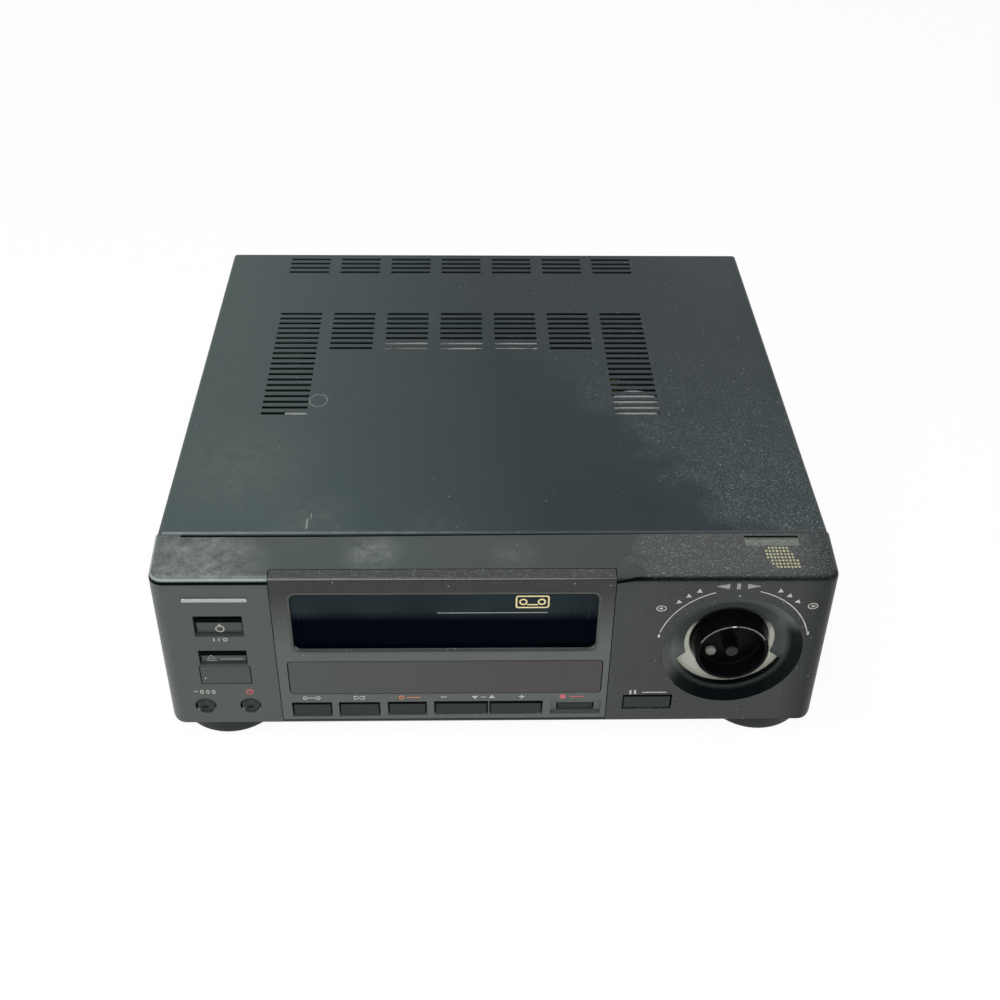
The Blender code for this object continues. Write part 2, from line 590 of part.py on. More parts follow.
FILTER_RADIUS = 11.0 * MM
FILTER_MARGIN = 2.5 * MM
FILTER_SHARE = 0.504
FILTER_TOP = 45.0 * MM
FILTER_GROOVE = 0.7 * MM
FILTER_NECK = 3.0 * MM
FILTER_ACROSS = POWER_BOARD_LEFT + FILTER_MARGIN + FILTER_RADIUS
FILTER_BACK = POWER_BOARD_FRONT + FILTER_SHARE * POWER_BOARD_LENGTH
TRANSFORMER_SIZE = (30.0 * MM, 26.0 * MM, 28.0 * MM)
TRANSFORMER_MARGIN = 4.0 * MM
TRANSFORMER_SHARE = 0.652
TRANSFORMER_CORE_SHARE = 0.5
SINK_SHARE = 0.119
SINK_LENGTH_SHARE = 0.415
SINK_MARGIN = 1.0 * MM
SINK_BASE = 3.0 * MM
SINK_FIN = 1.4 * MM
SINK_FIN_REACH = 7.0 * MM
SINK_FINS = 8
SINK_HEIGHT = 32.0 * MM
SINK_LEFT = POWER_BOARD_RIGHT - SINK_MARGIN - SINK_FIN_REACH - SINK_BASE

# Rear: tuner with aerial sockets, jack block, output switch and mains inlet
TUNER_DECK_MARGIN = 3.4 * MM
TUNER_LENGTH = 56.5 * MM
TUNER_TOP = 46.0 * MM
TUNER_LID_INSET = 1.2 * MM
TUNER_LEFT = BOARD_SIDE_MARGIN - SIDE
TUNER_RIGHT = DECK_MIDDLE - DECK_HALF_WIDTH - TUNER_DECK_MARGIN
TUNER_FRONT = REAR_INSIDE - GAP - TUNER_LENGTH
AERIAL_RADIUS = 4.7 * MM
AERIAL_BORE = 3.4 * MM
AERIAL_BORE_DEPTH = 7.0 * MM
AERIAL_ACROSS = (TUNER_LEFT + TUNER_RIGHT) / 2
AERIAL_SHARES = (0.287, 0.754)
AERIAL_HEIGHTS = tuple(BOARD_TOP + GAP + share * (TUNER_TOP - BOARD_TOP) for share in AERIAL_SHARES)
JACK_OFFSET = 14.0 * MM
JACK_PITCH = 16.0 * MM
JACK_ROW_LOW = 13.0 * MM
JACK_ROW_PITCH = 12.0 * MM
JACK_HEADROOM = 6.0 * MM
JACK_BLOCK_DEPTH = 13.5 * MM
JACK_RADIUS = 4.2 * MM
JACK_BORE = 2.0 * MM
JACK_PROUD = 6.0 * MM
JACK_COUNT = 3
JACK_LEFT = TUNER_RIGHT + JACK_OFFSET
JACK_RIGHT = JACK_LEFT + JACK_COUNT * JACK_PITCH
JACK_COLUMNS = tuple(JACK_LEFT + JACK_PITCH / 2 + i * JACK_PITCH for i in range(JACK_COUNT))
JACK_ROWS = (JACK_ROW_LOW, JACK_ROW_LOW + JACK_ROW_PITCH)
JACK_TOP = JACK_ROWS[1] + JACK_HEADROOM
JACK_FRONT = REAR_INSIDE - GAP - JACK_BLOCK_DEPTH
INLET_MARGIN = 10.5 * MM
INLET_WIDTH = 22.0 * MM
INLET_HEIGHT = 16.0 * MM
INLET_BOTTOM = 12.0 * MM
INLET_BODY_DEPTH = 17.0 * MM
INLET_RIGHT = SIDE - INLET_MARGIN
INLET_LEFT = INLET_RIGHT - INLET_WIDTH
INLET_TOP = INLET_BOTTOM + INLET_HEIGHT
INLET_FRONT = REAR_FACE - INLET_BODY_DEPTH
INLET_FLANGE = 2.0 * MM
INLET_LOBE = 4.3 * MM
INLET_PITCH = 8.0 * MM
INLET_DEPTH = 10.0 * MM
INLET_PIN_RADIUS = 1.2 * MM
SWITCH_OFFSET = 14.0 * MM
SWITCH_ACROSS = JACK_RIGHT + SWITCH_OFFSET
SWITCH_UP = 20.0 * MM
SWITCH_KNOB_WIDTH = 3.0 * MM
SWITCH_KNOB_HEIGHT = 3.0 * MM
SWITCH_KNOB_PROUD = 1.6 * MM
SWITCH_BODY_DEPTH = 6.0 * MM
SWITCH_SLIDE = 3.0 * MM

# Facets
FINE = 36
ROUND = 20
SMALL = 12
TINY = 8
CORNER_STEPS = 3


def place(across, back, up):
    """World point of a place given from the machine's middle, front face and underside."""
    return Vector((across, FRONT + back, FOOT_HEIGHT + up))


# Scene, collections and finishes
for old in list(bpy.data.objects):
    bpy.data.objects.remove(old)

PARTS = bpy.data.collections.new("cassette_recorder")
TOOLS = bpy.data.collections.new("cutters")
bpy.context.scene.collection.children.link(PARTS)
bpy.context.scene.collection.children.link(TOOLS)


def finish(name, colour, roughness, metallic=0.0):
    """A material with the colour, roughness and metal of one kind of piece."""
    material = bpy.data.materials.new(name)
    material.use_nodes = True
    shader = material.node_tree.nodes["Principled BSDF"]
    shader.inputs["Base Color"].default_value = (*colour, 1.0)
    shader.inputs["Roughness"].default_value = roughness
    shader.inputs["Metallic"].default_value = metallic
    return material


COVER_PAINT = finish("cover_paint", (0.050, 0.058, 0.058), 0.45)
PANEL_PLASTIC = finish("panel_plastic", (0.070, 0.076, 0.074), 0.45)
FASCIA_PLASTIC = finish("fascia_plastic", (0.092, 0.090, 0.084), 0.42)
KEY_PLASTIC = finish("key_plastic", (0.040, 0.047, 0.045), 0.40)
SMOKED_PLASTIC = finish("smoked_plastic", (0.010, 0.014, 0.018), 0.12)
DISPLAY_PLASTIC = finish("display_plastic", (0.085, 0.078, 0.074), 0.25)
GREY_PLASTIC = finish("grey_plastic", (0.40, 0.42, 0.37), 0.50)
BLACK_PLASTIC = finish("black_plastic", (0.010, 0.010, 0.011), 0.30)
BLACK_RUBBER = finish("black_rubber", (0.014, 0.014, 0.014), 0.80)
ZINC_STEEL = finish("zinc_steel", (0.62, 0.62, 0.58), 0.32, 1.0)
BASE_STEEL = finish("base_steel", (0.55, 0.56, 0.56), 0.40, 1.0)
TINPLATE = finish("tinplate", (0.70, 0.70, 0.68), 0.28, 1.0)
DRUM_ALUMINIUM = finish("drum_aluminium", (0.78, 0.79, 0.80), 0.18, 1.0)
HUB_NYLON = finish("hub_nylon", (0.72, 0.71, 0.66), 0.50)
BOARD_LAMINATE = finish("board_laminate", (0.16, 0.22, 0.08), 0.55)
TUBE_GLASS = finish("tube_glass", (0.05, 0.07, 0.07), 0.08)
CORE_FERRITE = finish("core_ferrite", (0.05, 0.05, 0.055), 0.50)


# Shapes
def add(name, mesh, material, location, turn=(0, 0, 0)):
    """Puts a mesh in the scene: a piece if it has a material, and otherwise a tool that shapes one."""
    obj = bpy.data.objects.new(name, mesh)
    obj.location = location
    obj.rotation_euler = turn
    if material is None:
        TOOLS.objects.link(obj)
        obj.hide_render = True
        obj.display_type = "WIRE"
    else:
        PARTS.objects.link(obj)
        mesh.materials.append(material)
    return obj


def mesh_from(name, shape):
    """A mesh datablock from a bmesh, which is freed."""
    mesh = bpy.data.meshes.new(name)
    shape.to_mesh(mesh)
    shape.free()
    return mesh


def blocks(name, boxes, material=None):
    """One object of separate boxes, each given as its spans across, back and up."""
    shape = bmesh.new()
    lows = [place(*(min(span) for span in box)) for box in boxes]
    highs = [place(*(max(span) for span in box)) for box in boxes]
    middle = (lows[0] + highs[0]) / 2
    for low, high in zip(lows, highs):
        size = Matrix.Diagonal((*(high - low), 1))
        at = Matrix.Translation((low + high) / 2 - middle)
        bmesh.ops.create_cube(shape, size=1.0, matrix=at @ size)
    return add(name, mesh_from(name, shape), material, middle)


def block(name, across, back, up, material=None):
    """A box between two places."""
    return blocks(name, [(across, back, up)], material)


TURNS = {
    "x": Euler((0, math.pi / 2, 0)),
    "y": Euler((-math.pi / 2, 0, 0)),
    "z": Euler((0, 0, 0)),
}


def rods(name, radius, starts, axis, length, material=None, sides=SMALL):
    """One object of parallel cylinders, each from its start along +axis."""
    shape = bmesh.new()
    turn = TURNS[axis].to_matrix()
    first = place(*starts[0])
    for start in starts:
        offset = turn.inverted() @ (place(*start) - first) + Vector((0, 0, length / 2))
        bmesh.ops.create_cone(
            shape,
            cap_ends=True,
            segments=sides,
            radius1=radius,
            radius2=radius,
            depth=length,
            matrix=Matrix.Translation(offset),
        )
    return add(name, mesh_from(name, shape), material, first, TURNS[axis])


def rod(name, radius, start, axis, length, material=None, sides=SMALL):
    """A cylinder from its start along +axis."""
    return rods(name, radius, [start], axis, length, material, sides)


def signed_area(points):
    """Area inside an outline, positive when its points run anticlockwise."""
    following = points[1:] + points[:1]
    return sum(a[0] * b[1] - b[0] * a[1] for a, b in zip(points, following)) / 2


def lathe(name, profile, at, axis, material=None, steps=ROUND, angle=2 * math.pi):
    """A turned shape: the profile's points are (radius, distance along the axis from `at`)."""
    points = profile if signed_area(profile) < 0 else profile[::-1]
    closed = all(radius > 0 for radius, along in points)
    edges = [(i, i + 1) for i in range(len(points) - 1)]
    if closed:
        edges.append((len(points) - 1, 0))
    else:
        first = [radius for radius, along in points].index(0)
        if points[first + 1 - len(points)][0] == 0:
            first += 1
        points = points[first:] + points[:first]
    mesh = bpy.data.meshes.new(name)
    mesh.from_pydata([(radius, 0, along) for radius, along in points], edges, [])
    obj = add(name, mesh, material, place(*at), TURNS[axis])
    screw = obj.modifiers.new("turn", "SCREW")
    screw.axis = "Z"
    screw.angle = angle
    screw.steps = steps
    screw.render_steps = steps
    screw.use_merge_vertices = True
    screw.merge_threshold = MERGE
    return obj


PLANES = {
    "xy": Euler((0, 0, 0)),
    "xz": Euler((math.pi / 2, 0, 0)),
    "yz": Euler((math.pi / 2, 0, math.pi / 2)),
}


def sheet(name, points, plane, span, material=None):
    """A flat outline given a thickness: its points lie in the plane, and span runs across it."""
    curve = bpy.data.curves.new(name, "CURVE")
    curve.dimensions = "2D"
    curve.fill_mode = "BOTH"
    curve.extrude = abs(span[1] - span[0]) / 2
    spline = curve.splines.new("POLY")
    spline.points.add(len(points) - 1)
    for corner, (u, v) in zip(spline.points, points):
        corner.co = (u, v, 0, 1)
    spline.use_cyclic_u = True
    drawn = bpy.data.objects.new(name, curve)
    TOOLS.objects.link(drawn)
    graph = bpy.context.evaluated_depsgraph_get()
    mesh = bpy.data.meshes.new_from_object(drawn.evaluated_get(graph))
    bpy.data.objects.remove(drawn)
    bpy.data.curves.remove(curve)
    shape = bmesh.new()
    shape.from_mesh(mesh)
    bmesh.ops.remove_doubles(shape, verts=shape.verts, dist=MERGE)
    bmesh.ops.dissolve_limit(
        shape, angle_limit=math.radians(0.1), verts=shape.verts, edges=shape.edges
    )
    bmesh.ops.recalc_face_normals(shape, faces=shape.faces)
    shape.to_mesh(mesh)
    shape.free()
    middle = (span[0] + span[1]) / 2
    at = {"xy": (0, 0, middle), "xz": (0, middle, 0), "yz": (middle, 0, 0)}[plane]
    return add(name, mesh, material, place(*at), PLANES[plane])


def rounded(points, radii, steps=CORNER_STEPS):
    """An outline with its corners rounded, each to its own radius."""
    result = []
    count = len(points)
    for i, radius in enumerate(radii):
        corner = Vector(points[i])
        if not radius:
            result.append(tuple(corner))
            continue
        into = (Vector(points[i - 1]) - corner).normalized()
        out = (Vector(points[(i + 1) % count]) - corner).normalized()
        half = into.angle(out) / 2
        centre = corner + (into + out).normalized() * radius / math.sin(half)
        start = corner + into * radius / math.tan(half) - centre
        end = corner + out * radius / math.tan(half) - centre
        sweep = start.angle(end)
        for step in range(steps + 1):
            share = step / steps
            arm = start * math.sin((1 - share) * sweep) + end * math.sin(share * sweep)
            result.append(tuple(centre + arm / math.sin(sweep)))
    return result


def rectangle(left, right, bottom, top, radius=0.0, steps=CORNER_STEPS):
    """A rectangle's outline, with round corners if it has a radius."""
    corners = [(left, bottom), (right, bottom), (right, top), (left, top)]
    return rounded(corners, [radius] * 4, steps)


def change(target, tool, operation):
    """Shapes a piece with a tool object by an exact Boolean."""
    step = target.modifiers.new(tool.name, "BOOLEAN")
    step.operation = operation
    step.solver = "EXACT"
    step.object = tool


def cut(target, *tools):
    """Takes each tool's volume away from the piece."""
    for tool in tools:
        change(target, tool, "DIFFERENCE")


def join(target, *tools):
    """Adds each tool's volume to the piece."""
    for tool in tools:
        change(target, tool, "UNION")


def soften(obj, width, segments=1):
    """Rounds the sharp edges of a piece."""
    bevel = obj.modifiers.new("soften", "BEVEL")
    bevel.width = width
    bevel.segments = segments
    bevel.limit_method = "ANGLE"


def set_origin(obj, at):
    """Moves an object's origin to a place and leaves its shape where it is."""
    pose = Matrix.LocRotScale(obj.location, obj.rotation_euler, None)
    offset = pose.inverted() @ place(*at)
    obj.data.transform(Matrix.Translation(-offset))
    obj.location = place(*at)


def gear_outline(teeth, first_tooth, centre=(0, 0), covered=None):
    """Outline of a toothed wheel, or of a toothed arc whose other teeth are left as plain rim.

    `covered` is how many teeth are cut, the middle one at the angle `first_tooth`.
    """
    pitch = 2 * math.pi / teeth
    radius = teeth * MODULE / 2
    root, tip = radius - DEDENDUM, radius + ADDENDUM
    points = []
    for i in range(teeth):
        turn = i if i <= teeth / 2 else i - teeth
        angle = first_tooth + turn * pitch
        cut_here = covered is None or abs(turn) <= covered / 2
        shares = ((root, -ROOT_SHARE), (tip, -TIP_SHARE), (tip, TIP_SHARE), (root, ROOT_SHARE))
        for at_radius, share in shares if cut_here else ((root, 0),):
            turned = angle + share * pitch
            points.append(
                (
                    centre[0] + at_radius * math.cos(turned),
                    centre[1] + at_radius * math.sin(turned),
                )
            )
    return points


# Case
def build_cover():
    """Steel cover: a folded channel with slots over the works."""
    outer = COVER_SIDE
    inner = COVER_SIDE - SHEET
    under = BODY_HEIGHT - SHEET
    points = [
        (-outer, COVER_LIFT),
        (-outer, BODY_HEIGHT),
        (outer, BODY_HEIGHT),
        (outer, COVER_LIFT),
        (inner, COVER_LIFT),
        (inner, under),
        (-inner, under),
        (-inner, COVER_LIFT),
    ]
    inside = COVER_BEND - SHEET
    radii = [0, COVER_BEND, COVER_BEND, 0, 0, inside, inside, 0]
    span = (PANEL_DEPTH + GAP, BODY_DEPTH)
    cover = sheet("top_cover", rounded(points, radii), "xz", span, COVER_PAINT)
    slots = []
    for column in range(VENT_COLUMNS):
        middle = VENT_MIDDLE + (column - (VENT_COLUMNS - 1) / 2) * VENT_COLUMN_PITCH
        outermost = column in (0, VENT_COLUMNS - 1)
        main_rows = VENT_SIDE_ROWS if outermost else VENT_MAIN_ROWS
        rear_row = BODY_DEPTH - VENT_REAR_MARGIN
        main_row = BODY_DEPTH - VENT_MAIN_MARGIN
        rows = [rear_row - i * VENT_PITCH for i in range(VENT_REAR_ROWS)]
        rows += [main_row - i * VENT_PITCH for i in range(main_rows)]
        for row in rows:
            slots.append(
                (
                    (middle - VENT_LENGTH / 2, middle + VENT_LENGTH / 2),
                    (row - VENT_WIDTH / 2, row + VENT_WIDTH / 2),
                    (under - OVERRUN, BODY_HEIGHT + OVERRUN),
                )
            )
    cut(cover, blocks("vent_slots", slots))


def build_base():
    """Steel pan with side lips, pillars under the deck and standoffs under the boards."""
    side = INNER_SIDE
    inner = side - SHEET
    points = [
        (-side, PAN_LIP),
        (-side, 0),
        (side, 0),
        (side, PAN_LIP),
        (inner, PAN_LIP),
        (inner, SHEET),
        (-inner, SHEET),
        (-inner, PAN_LIP),
    ]
    pan = sheet("base_pan", points, "xz", (PAN_FRONT, PAN_BACK), BASE_STEEL)
    ends = [
        (
            (min(edge, edge + side_in), max(edge, edge + side_in)),
            (PAN_FRONT - OVERRUN, PANEL_DEPTH + TONGUE_DEPTH + GAP),
            (SHEET + GAP, PAN_LIP + OVERRUN),
        )
        for edge, side_in in ((-side - OVERRUN, 4 * SHEET), (side + OVERRUN, -4 * SHEET))
    ]
    cut(pan, blocks("lip_ends", ends))
    low = SHEET - OVERLAP
    pillar_length = DECK_TOP - DECK_PLATE - GAP - low
    starts = [(across, back, low) for across, back in DECK_PILLARS]
    join(pan, rods("deck_pillars", DECK_PILLAR_RADIUS, starts, "z", pillar_length))
    inset = STANDOFF_RADIUS + OVERRUN
    boards = (
        (MAIN_BOARD_LEFT, MAIN_BOARD_RIGHT, MAIN_BOARD_FRONT, MAIN_BOARD_BACK),
        (POWER_BOARD_LEFT, POWER_BOARD_RIGHT, POWER_BOARD_FRONT, POWER_BOARD_BACK),
    )
    spots = []
    for left, right, front, back in boards:
        for across in (left + inset, right - inset):
            spots += [(across, front + inset, low), (across, back - inset, low)]
    height = BOARD_UNDERSIDE - GAP - low
    join(pan, rods("standoffs", STANDOFF_RADIUS, spots, "z", height, sides=TINY))


def build_feet():
    """Four round feet with a screw recess underneath."""
    profile = [
        (FOOT_RECESS_RADIUS, 0),
        (FOOT_RADIUS - FOOT_EDGE, 0),
        (FOOT_RADIUS, FOOT_EDGE),
        (FOOT_TOP_RADIUS, FOOT_HEIGHT - GAP),
        (0, FOOT_HEIGHT - GAP),
        (0, FOOT_RECESS_DEPTH),
        (FOOT_RECESS_RADIUS, FOOT_RECESS_DEPTH),
    ]
    for end, back in (("front", FOOT_FRONT), ("rear", FOOT_REAR)):
        for side, across in (("left", -FOOT_ACROSS), ("right", FOOT_ACROSS)):
            at = (across, back, -FOOT_HEIGHT)
            lathe(f"foot_{end}_{side}", profile, at, "z", BLACK_RUBBER, ROUND)


def build_rear():
    """Rear panel with holes for the aerial, jacks, switch and mains inlet."""
    panel = block(
        "rear_panel",
        (-INNER_SIDE, INNER_SIDE),
        (REAR_INSIDE, REAR_FACE),
        (SHEET + GAP, INNER_TOP),
        BASE_STEEL,
    )
    start = REAR_INSIDE - OVERRUN
    length = REAR_SHEET + 2 * OVERRUN
    aerials = [(AERIAL_ACROSS, start, up) for up in AERIAL_HEIGHTS]
    jacks = [(across, start, up) for across in JACK_COLUMNS for up in JACK_ROWS]
    half = SWITCH_KNOB_WIDTH / 2 + GAP
    slot = block(
        "switch_slot",
        (SWITCH_ACROSS - half, SWITCH_ACROSS + half + SWITCH_SLIDE),
        (start, start + length),
        (SWITCH_UP - SWITCH_KNOB_HEIGHT / 2 - GAP, SWITCH_UP + SWITCH_KNOB_HEIGHT / 2 + GAP),
    )
    inlet = block(
        "inlet_hole",
        (INLET_LEFT - GAP, INLET_RIGHT + GAP),
        (start, start + length),
        (INLET_BOTTOM - GAP, INLET_TOP + GAP),
    )
    cut(
        panel,
        rods("aerial_holes", AERIAL_RADIUS + GAP, aerials, "y", length),
        rods("jack_holes", JACK_RADIUS + GAP, jacks, "y", length),
        slot,
        inlet,
    )


# Front
def fascia_outline(grow, crown):
    """Side view of the centre fascia: a plate that wraps over the top edge, grown for its pocket."""
    top = BODY_HEIGHT + (OVERRUN if grow else 0)
    face = -FASCIA_PROUD - (OVERRUN if grow else 0)
    rear = FASCIA_THICKNESS - FASCIA_PROUD + grow
    wrap = FASCIA_WRAP + grow
    under = BODY_HEIGHT - FASCIA_WRAP_THICKNESS - grow
    bottom = FASCIA_BOTTOM - grow
    points = [(face, bottom), (rear, bottom), (rear, under), (wrap, under), (wrap, top), (face, top)]
    return rounded(points, [0, 0, 0, 0, 0, crown])


def dial_ring_tools():
    """The boss behind the dial, its dished seat and the wider lower sector of its mouth."""
    at = (DIAL_ACROSS, 0, DIAL_UP)
    boss = rod(
        "dial_boss",
        DISH_RADIUS + DISH_RIM,
        (DIAL_ACROSS, WALL - OVERLAP, DIAL_UP),
        "y",
        DISH_BACK - WALL + OVERLAP,
        sides=FINE,
    )
    dish = lathe(
        "dial_dish",
        [
            (0, -OVERRUN),
            (DISH_RADIUS + OVERRUN, -OVERRUN),
            (DISH_RADIUS, 0),
            (DISH_STEP_RADIUS, DISH_STEP_DEPTH),
            (DISH_MOUTH_RADIUS, DISH_MOUTH_DEPTH),
            (DISH_MOUTH_RADIUS, DISH_BACK + OVERRUN),
            (0, DISH_BACK + OVERRUN),
        ],
        at,
        "y",
        steps=FINE,
    )
    half = math.radians(DISH_SECTOR / 2)
    steps = SMALL
    arc = [-math.pi / 2 - half + 2 * half * i / steps for i in range(steps + 1)]
    inner = DISH_MOUTH_RADIUS - OVERRUN
    sector = [
        (DIAL_ACROSS + DISH_STEP_RADIUS * math.cos(a), DIAL_UP + DISH_STEP_RADIUS * math.sin(a))
        for a in arc
    ]
    sector += [
        (DIAL_ACROSS + inner * math.cos(a), DIAL_UP + inner * math.sin(a)) for a in arc[::-1]
    ]
    mouth = sheet("dial_sector", sector, "xz", (DISH_STEP_DEPTH - OVERRUN, DISH_BACK + OVERRUN))
    return boss, dish, mouth


def build_panel():
    """Moulded front panel: an outline in each view, hollowed from behind, with its openings."""
    side = SIDE
    face = side - PANEL_TAPER
    plan = [(-side, PANEL_DEPTH), (-face, 0), (face, 0), (side, PANEL_DEPTH)]
    radii = [0, PANEL_CORNER, PANEL_CORNER, 0]
    panel = sheet(
        "front_panel", rounded(plan, radii, SMALL // 2), "xy", (0, BODY_HEIGHT), PANEL_PLASTIC
    )
    corners = [(-side, 0), (side, 0), (side, BODY_HEIGHT), (-side, BODY_HEIGHT)]
    front_radii = [PANEL_FOOT_CORNER, PANEL_FOOT_CORNER, PANEL_TOE, PANEL_TOE]
    front = sheet(
        "panel_front_view",
        rounded(corners, front_radii),
        "xz",
        (-OVERRUN, PANEL_DEPTH + OVERRUN),
    )
    profile = [(0, 0), (PANEL_DEPTH, 0), (PANEL_DEPTH, BODY_HEIGHT), (0, BODY_HEIGHT)]
    end_view = sheet(
        "panel_end_view",
        rounded(profile, [PANEL_TOE, 0, 0, PANEL_CROWN], SMALL // 2),
        "yz",
        (-side - OVERRUN, side + OVERRUN),
    )
    change(panel, front, "INTERSECT")
    change(panel, end_view, "INTERSECT")
    tongue = block(
        "panel_tongue",
        (-INNER_SIDE, INNER_SIDE),
        (PANEL_DEPTH - TONGUE_DEPTH, PANEL_DEPTH + TONGUE_DEPTH),
        (WALL, INNER_TOP),
    )
    join(panel, tongue)
    inner = INNER_SIDE - TONGUE_THICKNESS
    ceiling = INNER_TOP - TONGUE_THICKNESS
    wide_from = BACKING_BACK + FASCIA_WRAP_THICKNESS
    hollow = block(
        "panel_hollow",
        (-inner, inner),
        (wide_from, PANEL_DEPTH + TONGUE_DEPTH + OVERRUN),
        (WALL, ceiling),
    )
    left_end = FASCIA_LEFT - GAP - FASCIA_BACKING
    right_end = FASCIA_RIGHT + GAP + FASCIA_BACKING
    left_hollow = block(
        "panel_left_hollow", (-inner, left_end), (WALL, wide_from + OVERLAP), (WALL, ceiling)
    )
    right_hollow = block(
        "panel_right_hollow", (right_end, inner), (WALL, wide_from + OVERLAP), (WALL, ceiling)
    )
    centre_hollow = block(
        "panel_centre_hollow",
        (left_end - OVERLAP, right_end + OVERLAP),
        (BACKING_BACK, wide_from + OVERLAP),
        (
            FASCIA_BOTTOM + FASCIA_BACKING,
            BODY_HEIGHT - FASCIA_WRAP_THICKNESS - GAP - FASCIA_BACKING,
        ),
    )
    cut(panel, hollow, left_hollow, right_hollow, centre_hollow)
    boss, dish, mouth = dial_ring_tools()
    join(panel, boss)
    cut(panel, dish, mouth)
    low = [(DIAL_ACROSS + offset, WALL - OVERLAP, up) for offset, up in DIAL_PILLARS]
    dial_pillars = rods(
        "dial_pillars", PILLAR_RADIUS, low, "y", ENCODER_BACK - WALL + OVERLAP, sides=TINY
    )
    low = [(across, WALL - OVERLAP, up) for across, up in FRONT_PILLARS]
    front_pillars = rods(
        "front_pillars",
        PILLAR_RADIUS,
        low,
        "y",
        FRONT_BOARD_FACE - GAP - WALL + OVERLAP,
        sides=TINY,
    )
    join(panel, dial_pillars, front_pillars)
    pocket = sheet(
        "fascia_pocket",
        fascia_outline(GAP, 0),
        "yz",
        (FASCIA_LEFT - GAP, FASCIA_RIGHT + GAP),
    )
    through = (BACKING_FACE - OVERRUN, BACKING_BACK + OVERRUN)
    backing = blocks(
        "backing_openings",
        [
            (
                (FASCIA_LEFT + BACKING_RIM, FASCIA_RIGHT - BACKING_RIM / 2),
                through,
                (WINDOW_BOTTOM - FLAP_MARGIN - BACKING_RIM / 2, WINDOW_TOP + WALL),
            ),
            (
                (FASCIA_LEFT + BACKING_RIM, FASCIA_RIGHT - BACKING_RIM / 2),
                through,
                (
                    DISPLAY_BOTTOM - DISPLAY_FLANGE - GAP,
                    DISPLAY_TOP + DISPLAY_FLANGE + GAP,
                ),
            ),
            (
                (FASCIA_LEFT + BACKING_RIM, FASCIA_RIGHT - BACKING_RIM / 2),
                through,
                (KEY_ROW_BOTTOM, KEY_ROW_TOP),
            ),
        ],
    )
    strip = block(
        "label_strip",
        (DIAL_ACROSS + STRIP_OFFSET, DIAL_ACROSS + STRIP_OFFSET + STRIP_LENGTH),
        (PANEL_DEPTH - STRIP_MARGIN - STRIP_WIDTH, PANEL_DEPTH - STRIP_MARGIN),
        (BODY_HEIGHT - STRIP_DEPTH, BODY_HEIGHT + OVERRUN),
    )
    wall = (-OVERRUN, WALL + OVERRUN)
    keys = list(PANEL_KEYS.values())
    sensor_right = CONTROL_LEFT + CONTROL_WIDTH
    keys.append((CONTROL_LEFT - GAP, sensor_right + GAP, SENSOR_BOTTOM - GAP, SENSOR_TOP + GAP))
    openings = blocks(
        "panel_key_openings", [((x0, x1), wall, (z0, z1)) for x0, x1, z0, z1 in keys]
    )
    rounds = [(across, -OVERRUN, up) for across, up in ROUND_KEYS.values()]
    holes = rods(
        "round_key_holes", ROUND_RADIUS + GAP, rounds, "y", WALL + 2 * OVERRUN, sides=ROUND
    )
    cut(panel, pocket, backing, strip, openings, holes)


def build_fascia():
    """Centre fascia with its window, display and button openings."""
    fascia = sheet(
        "fascia",
        fascia_outline(0, FASCIA_CROWN),
        "yz",
        (FASCIA_LEFT, FASCIA_RIGHT),
        FASCIA_PLASTIC,
    )
    through = (-FASCIA_PROUD - OVERRUN, FASCIA_THICKNESS + OVERRUN)
    window = sheet(
        "window_opening",
        rectangle(WINDOW_LEFT, WINDOW_RIGHT, WINDOW_BOTTOM, WINDOW_TOP, WINDOW_CORNER),
        "xz",
        through,
    )
    display = sheet(
        "display_opening",
        rectangle(DISPLAY_LEFT, DISPLAY_RIGHT, DISPLAY_BOTTOM, DISPLAY_TOP, DISPLAY_CORNER),
        "xz",
        through,
    )
    flap_room = block(
        "flap_room",
        (WINDOW_LEFT - FLAP_MARGIN - GAP, WINDOW_RIGHT + FLAP_MARGIN + GAP),
        (WINDOW_LIP - FASCIA_PROUD, FASCIA_THICKNESS + OVERRUN),
        (WINDOW_BOTTOM - FLAP_MARGIN - GAP, WINDOW_TOP + FLAP_MARGIN + GAP),
    )
    boxes = [((x0, x1), through, (z0, z1)) for x0, x1, z0, z1 in FASCIA_KEYS.values()]
    openings = blocks("fascia_key_openings", boxes)
    x0, x1, z0, z1 = RECORD_RECESS
    recess = block(
        "record_recess",
        (x0, x1),
        (-FASCIA_PROUD - OVERRUN, RECORD_RECESS_DEPTH - FASCIA_PROUD),
        (z0, z1),
    )
    across, back, up = flap_pivot()
    reach = FLAP_MARGIN + GAP + FLAP_PIN_LENGTH + GAP
    width = WINDOW_RIGHT - WINDOW_LEFT
    lug_width = FLAP_PIN_LENGTH + GAP
    lugs = []
    for edge, side in ((WINDOW_LEFT - FLAP_MARGIN - GAP, -1), (WINDOW_RIGHT + FLAP_MARGIN + GAP, 1)):
        lugs.append(
            (
                (edge, edge + side * lug_width),
                (FASCIA_THICKNESS - FASCIA_PROUD - OVERLAP, BACKING_BACK - GAP),
                (up - 2 * FLAP_PIN_RADIUS - GAP, up + 2 * FLAP_PIN_RADIUS + GAP),
            )
        )
    pin_holes = rod(
        "flap_pin_holes",
        FLAP_PIN_RADIUS + GAP,
        (WINDOW_LEFT - reach, back, up),
        "x",
        width + 2 * reach,
        sides=SMALL,
    )
    cut(fascia, window, display)
    cut(fascia, flap_room, openings, recess)
    join(fascia, blocks("flap_lugs", lugs))
    cut(fascia, pin_holes)


def flap_pivot():
    """The flap's hinge: its middle point, on the axis of the flap's rounded top edge."""
    back = WINDOW_LIP - FASCIA_PROUD + GAP + FLAP_THICKNESS / 2
    up = WINDOW_TOP + FLAP_MARGIN - GAP - FLAP_THICKNESS / 2
    return DECK_MIDDLE, back, up


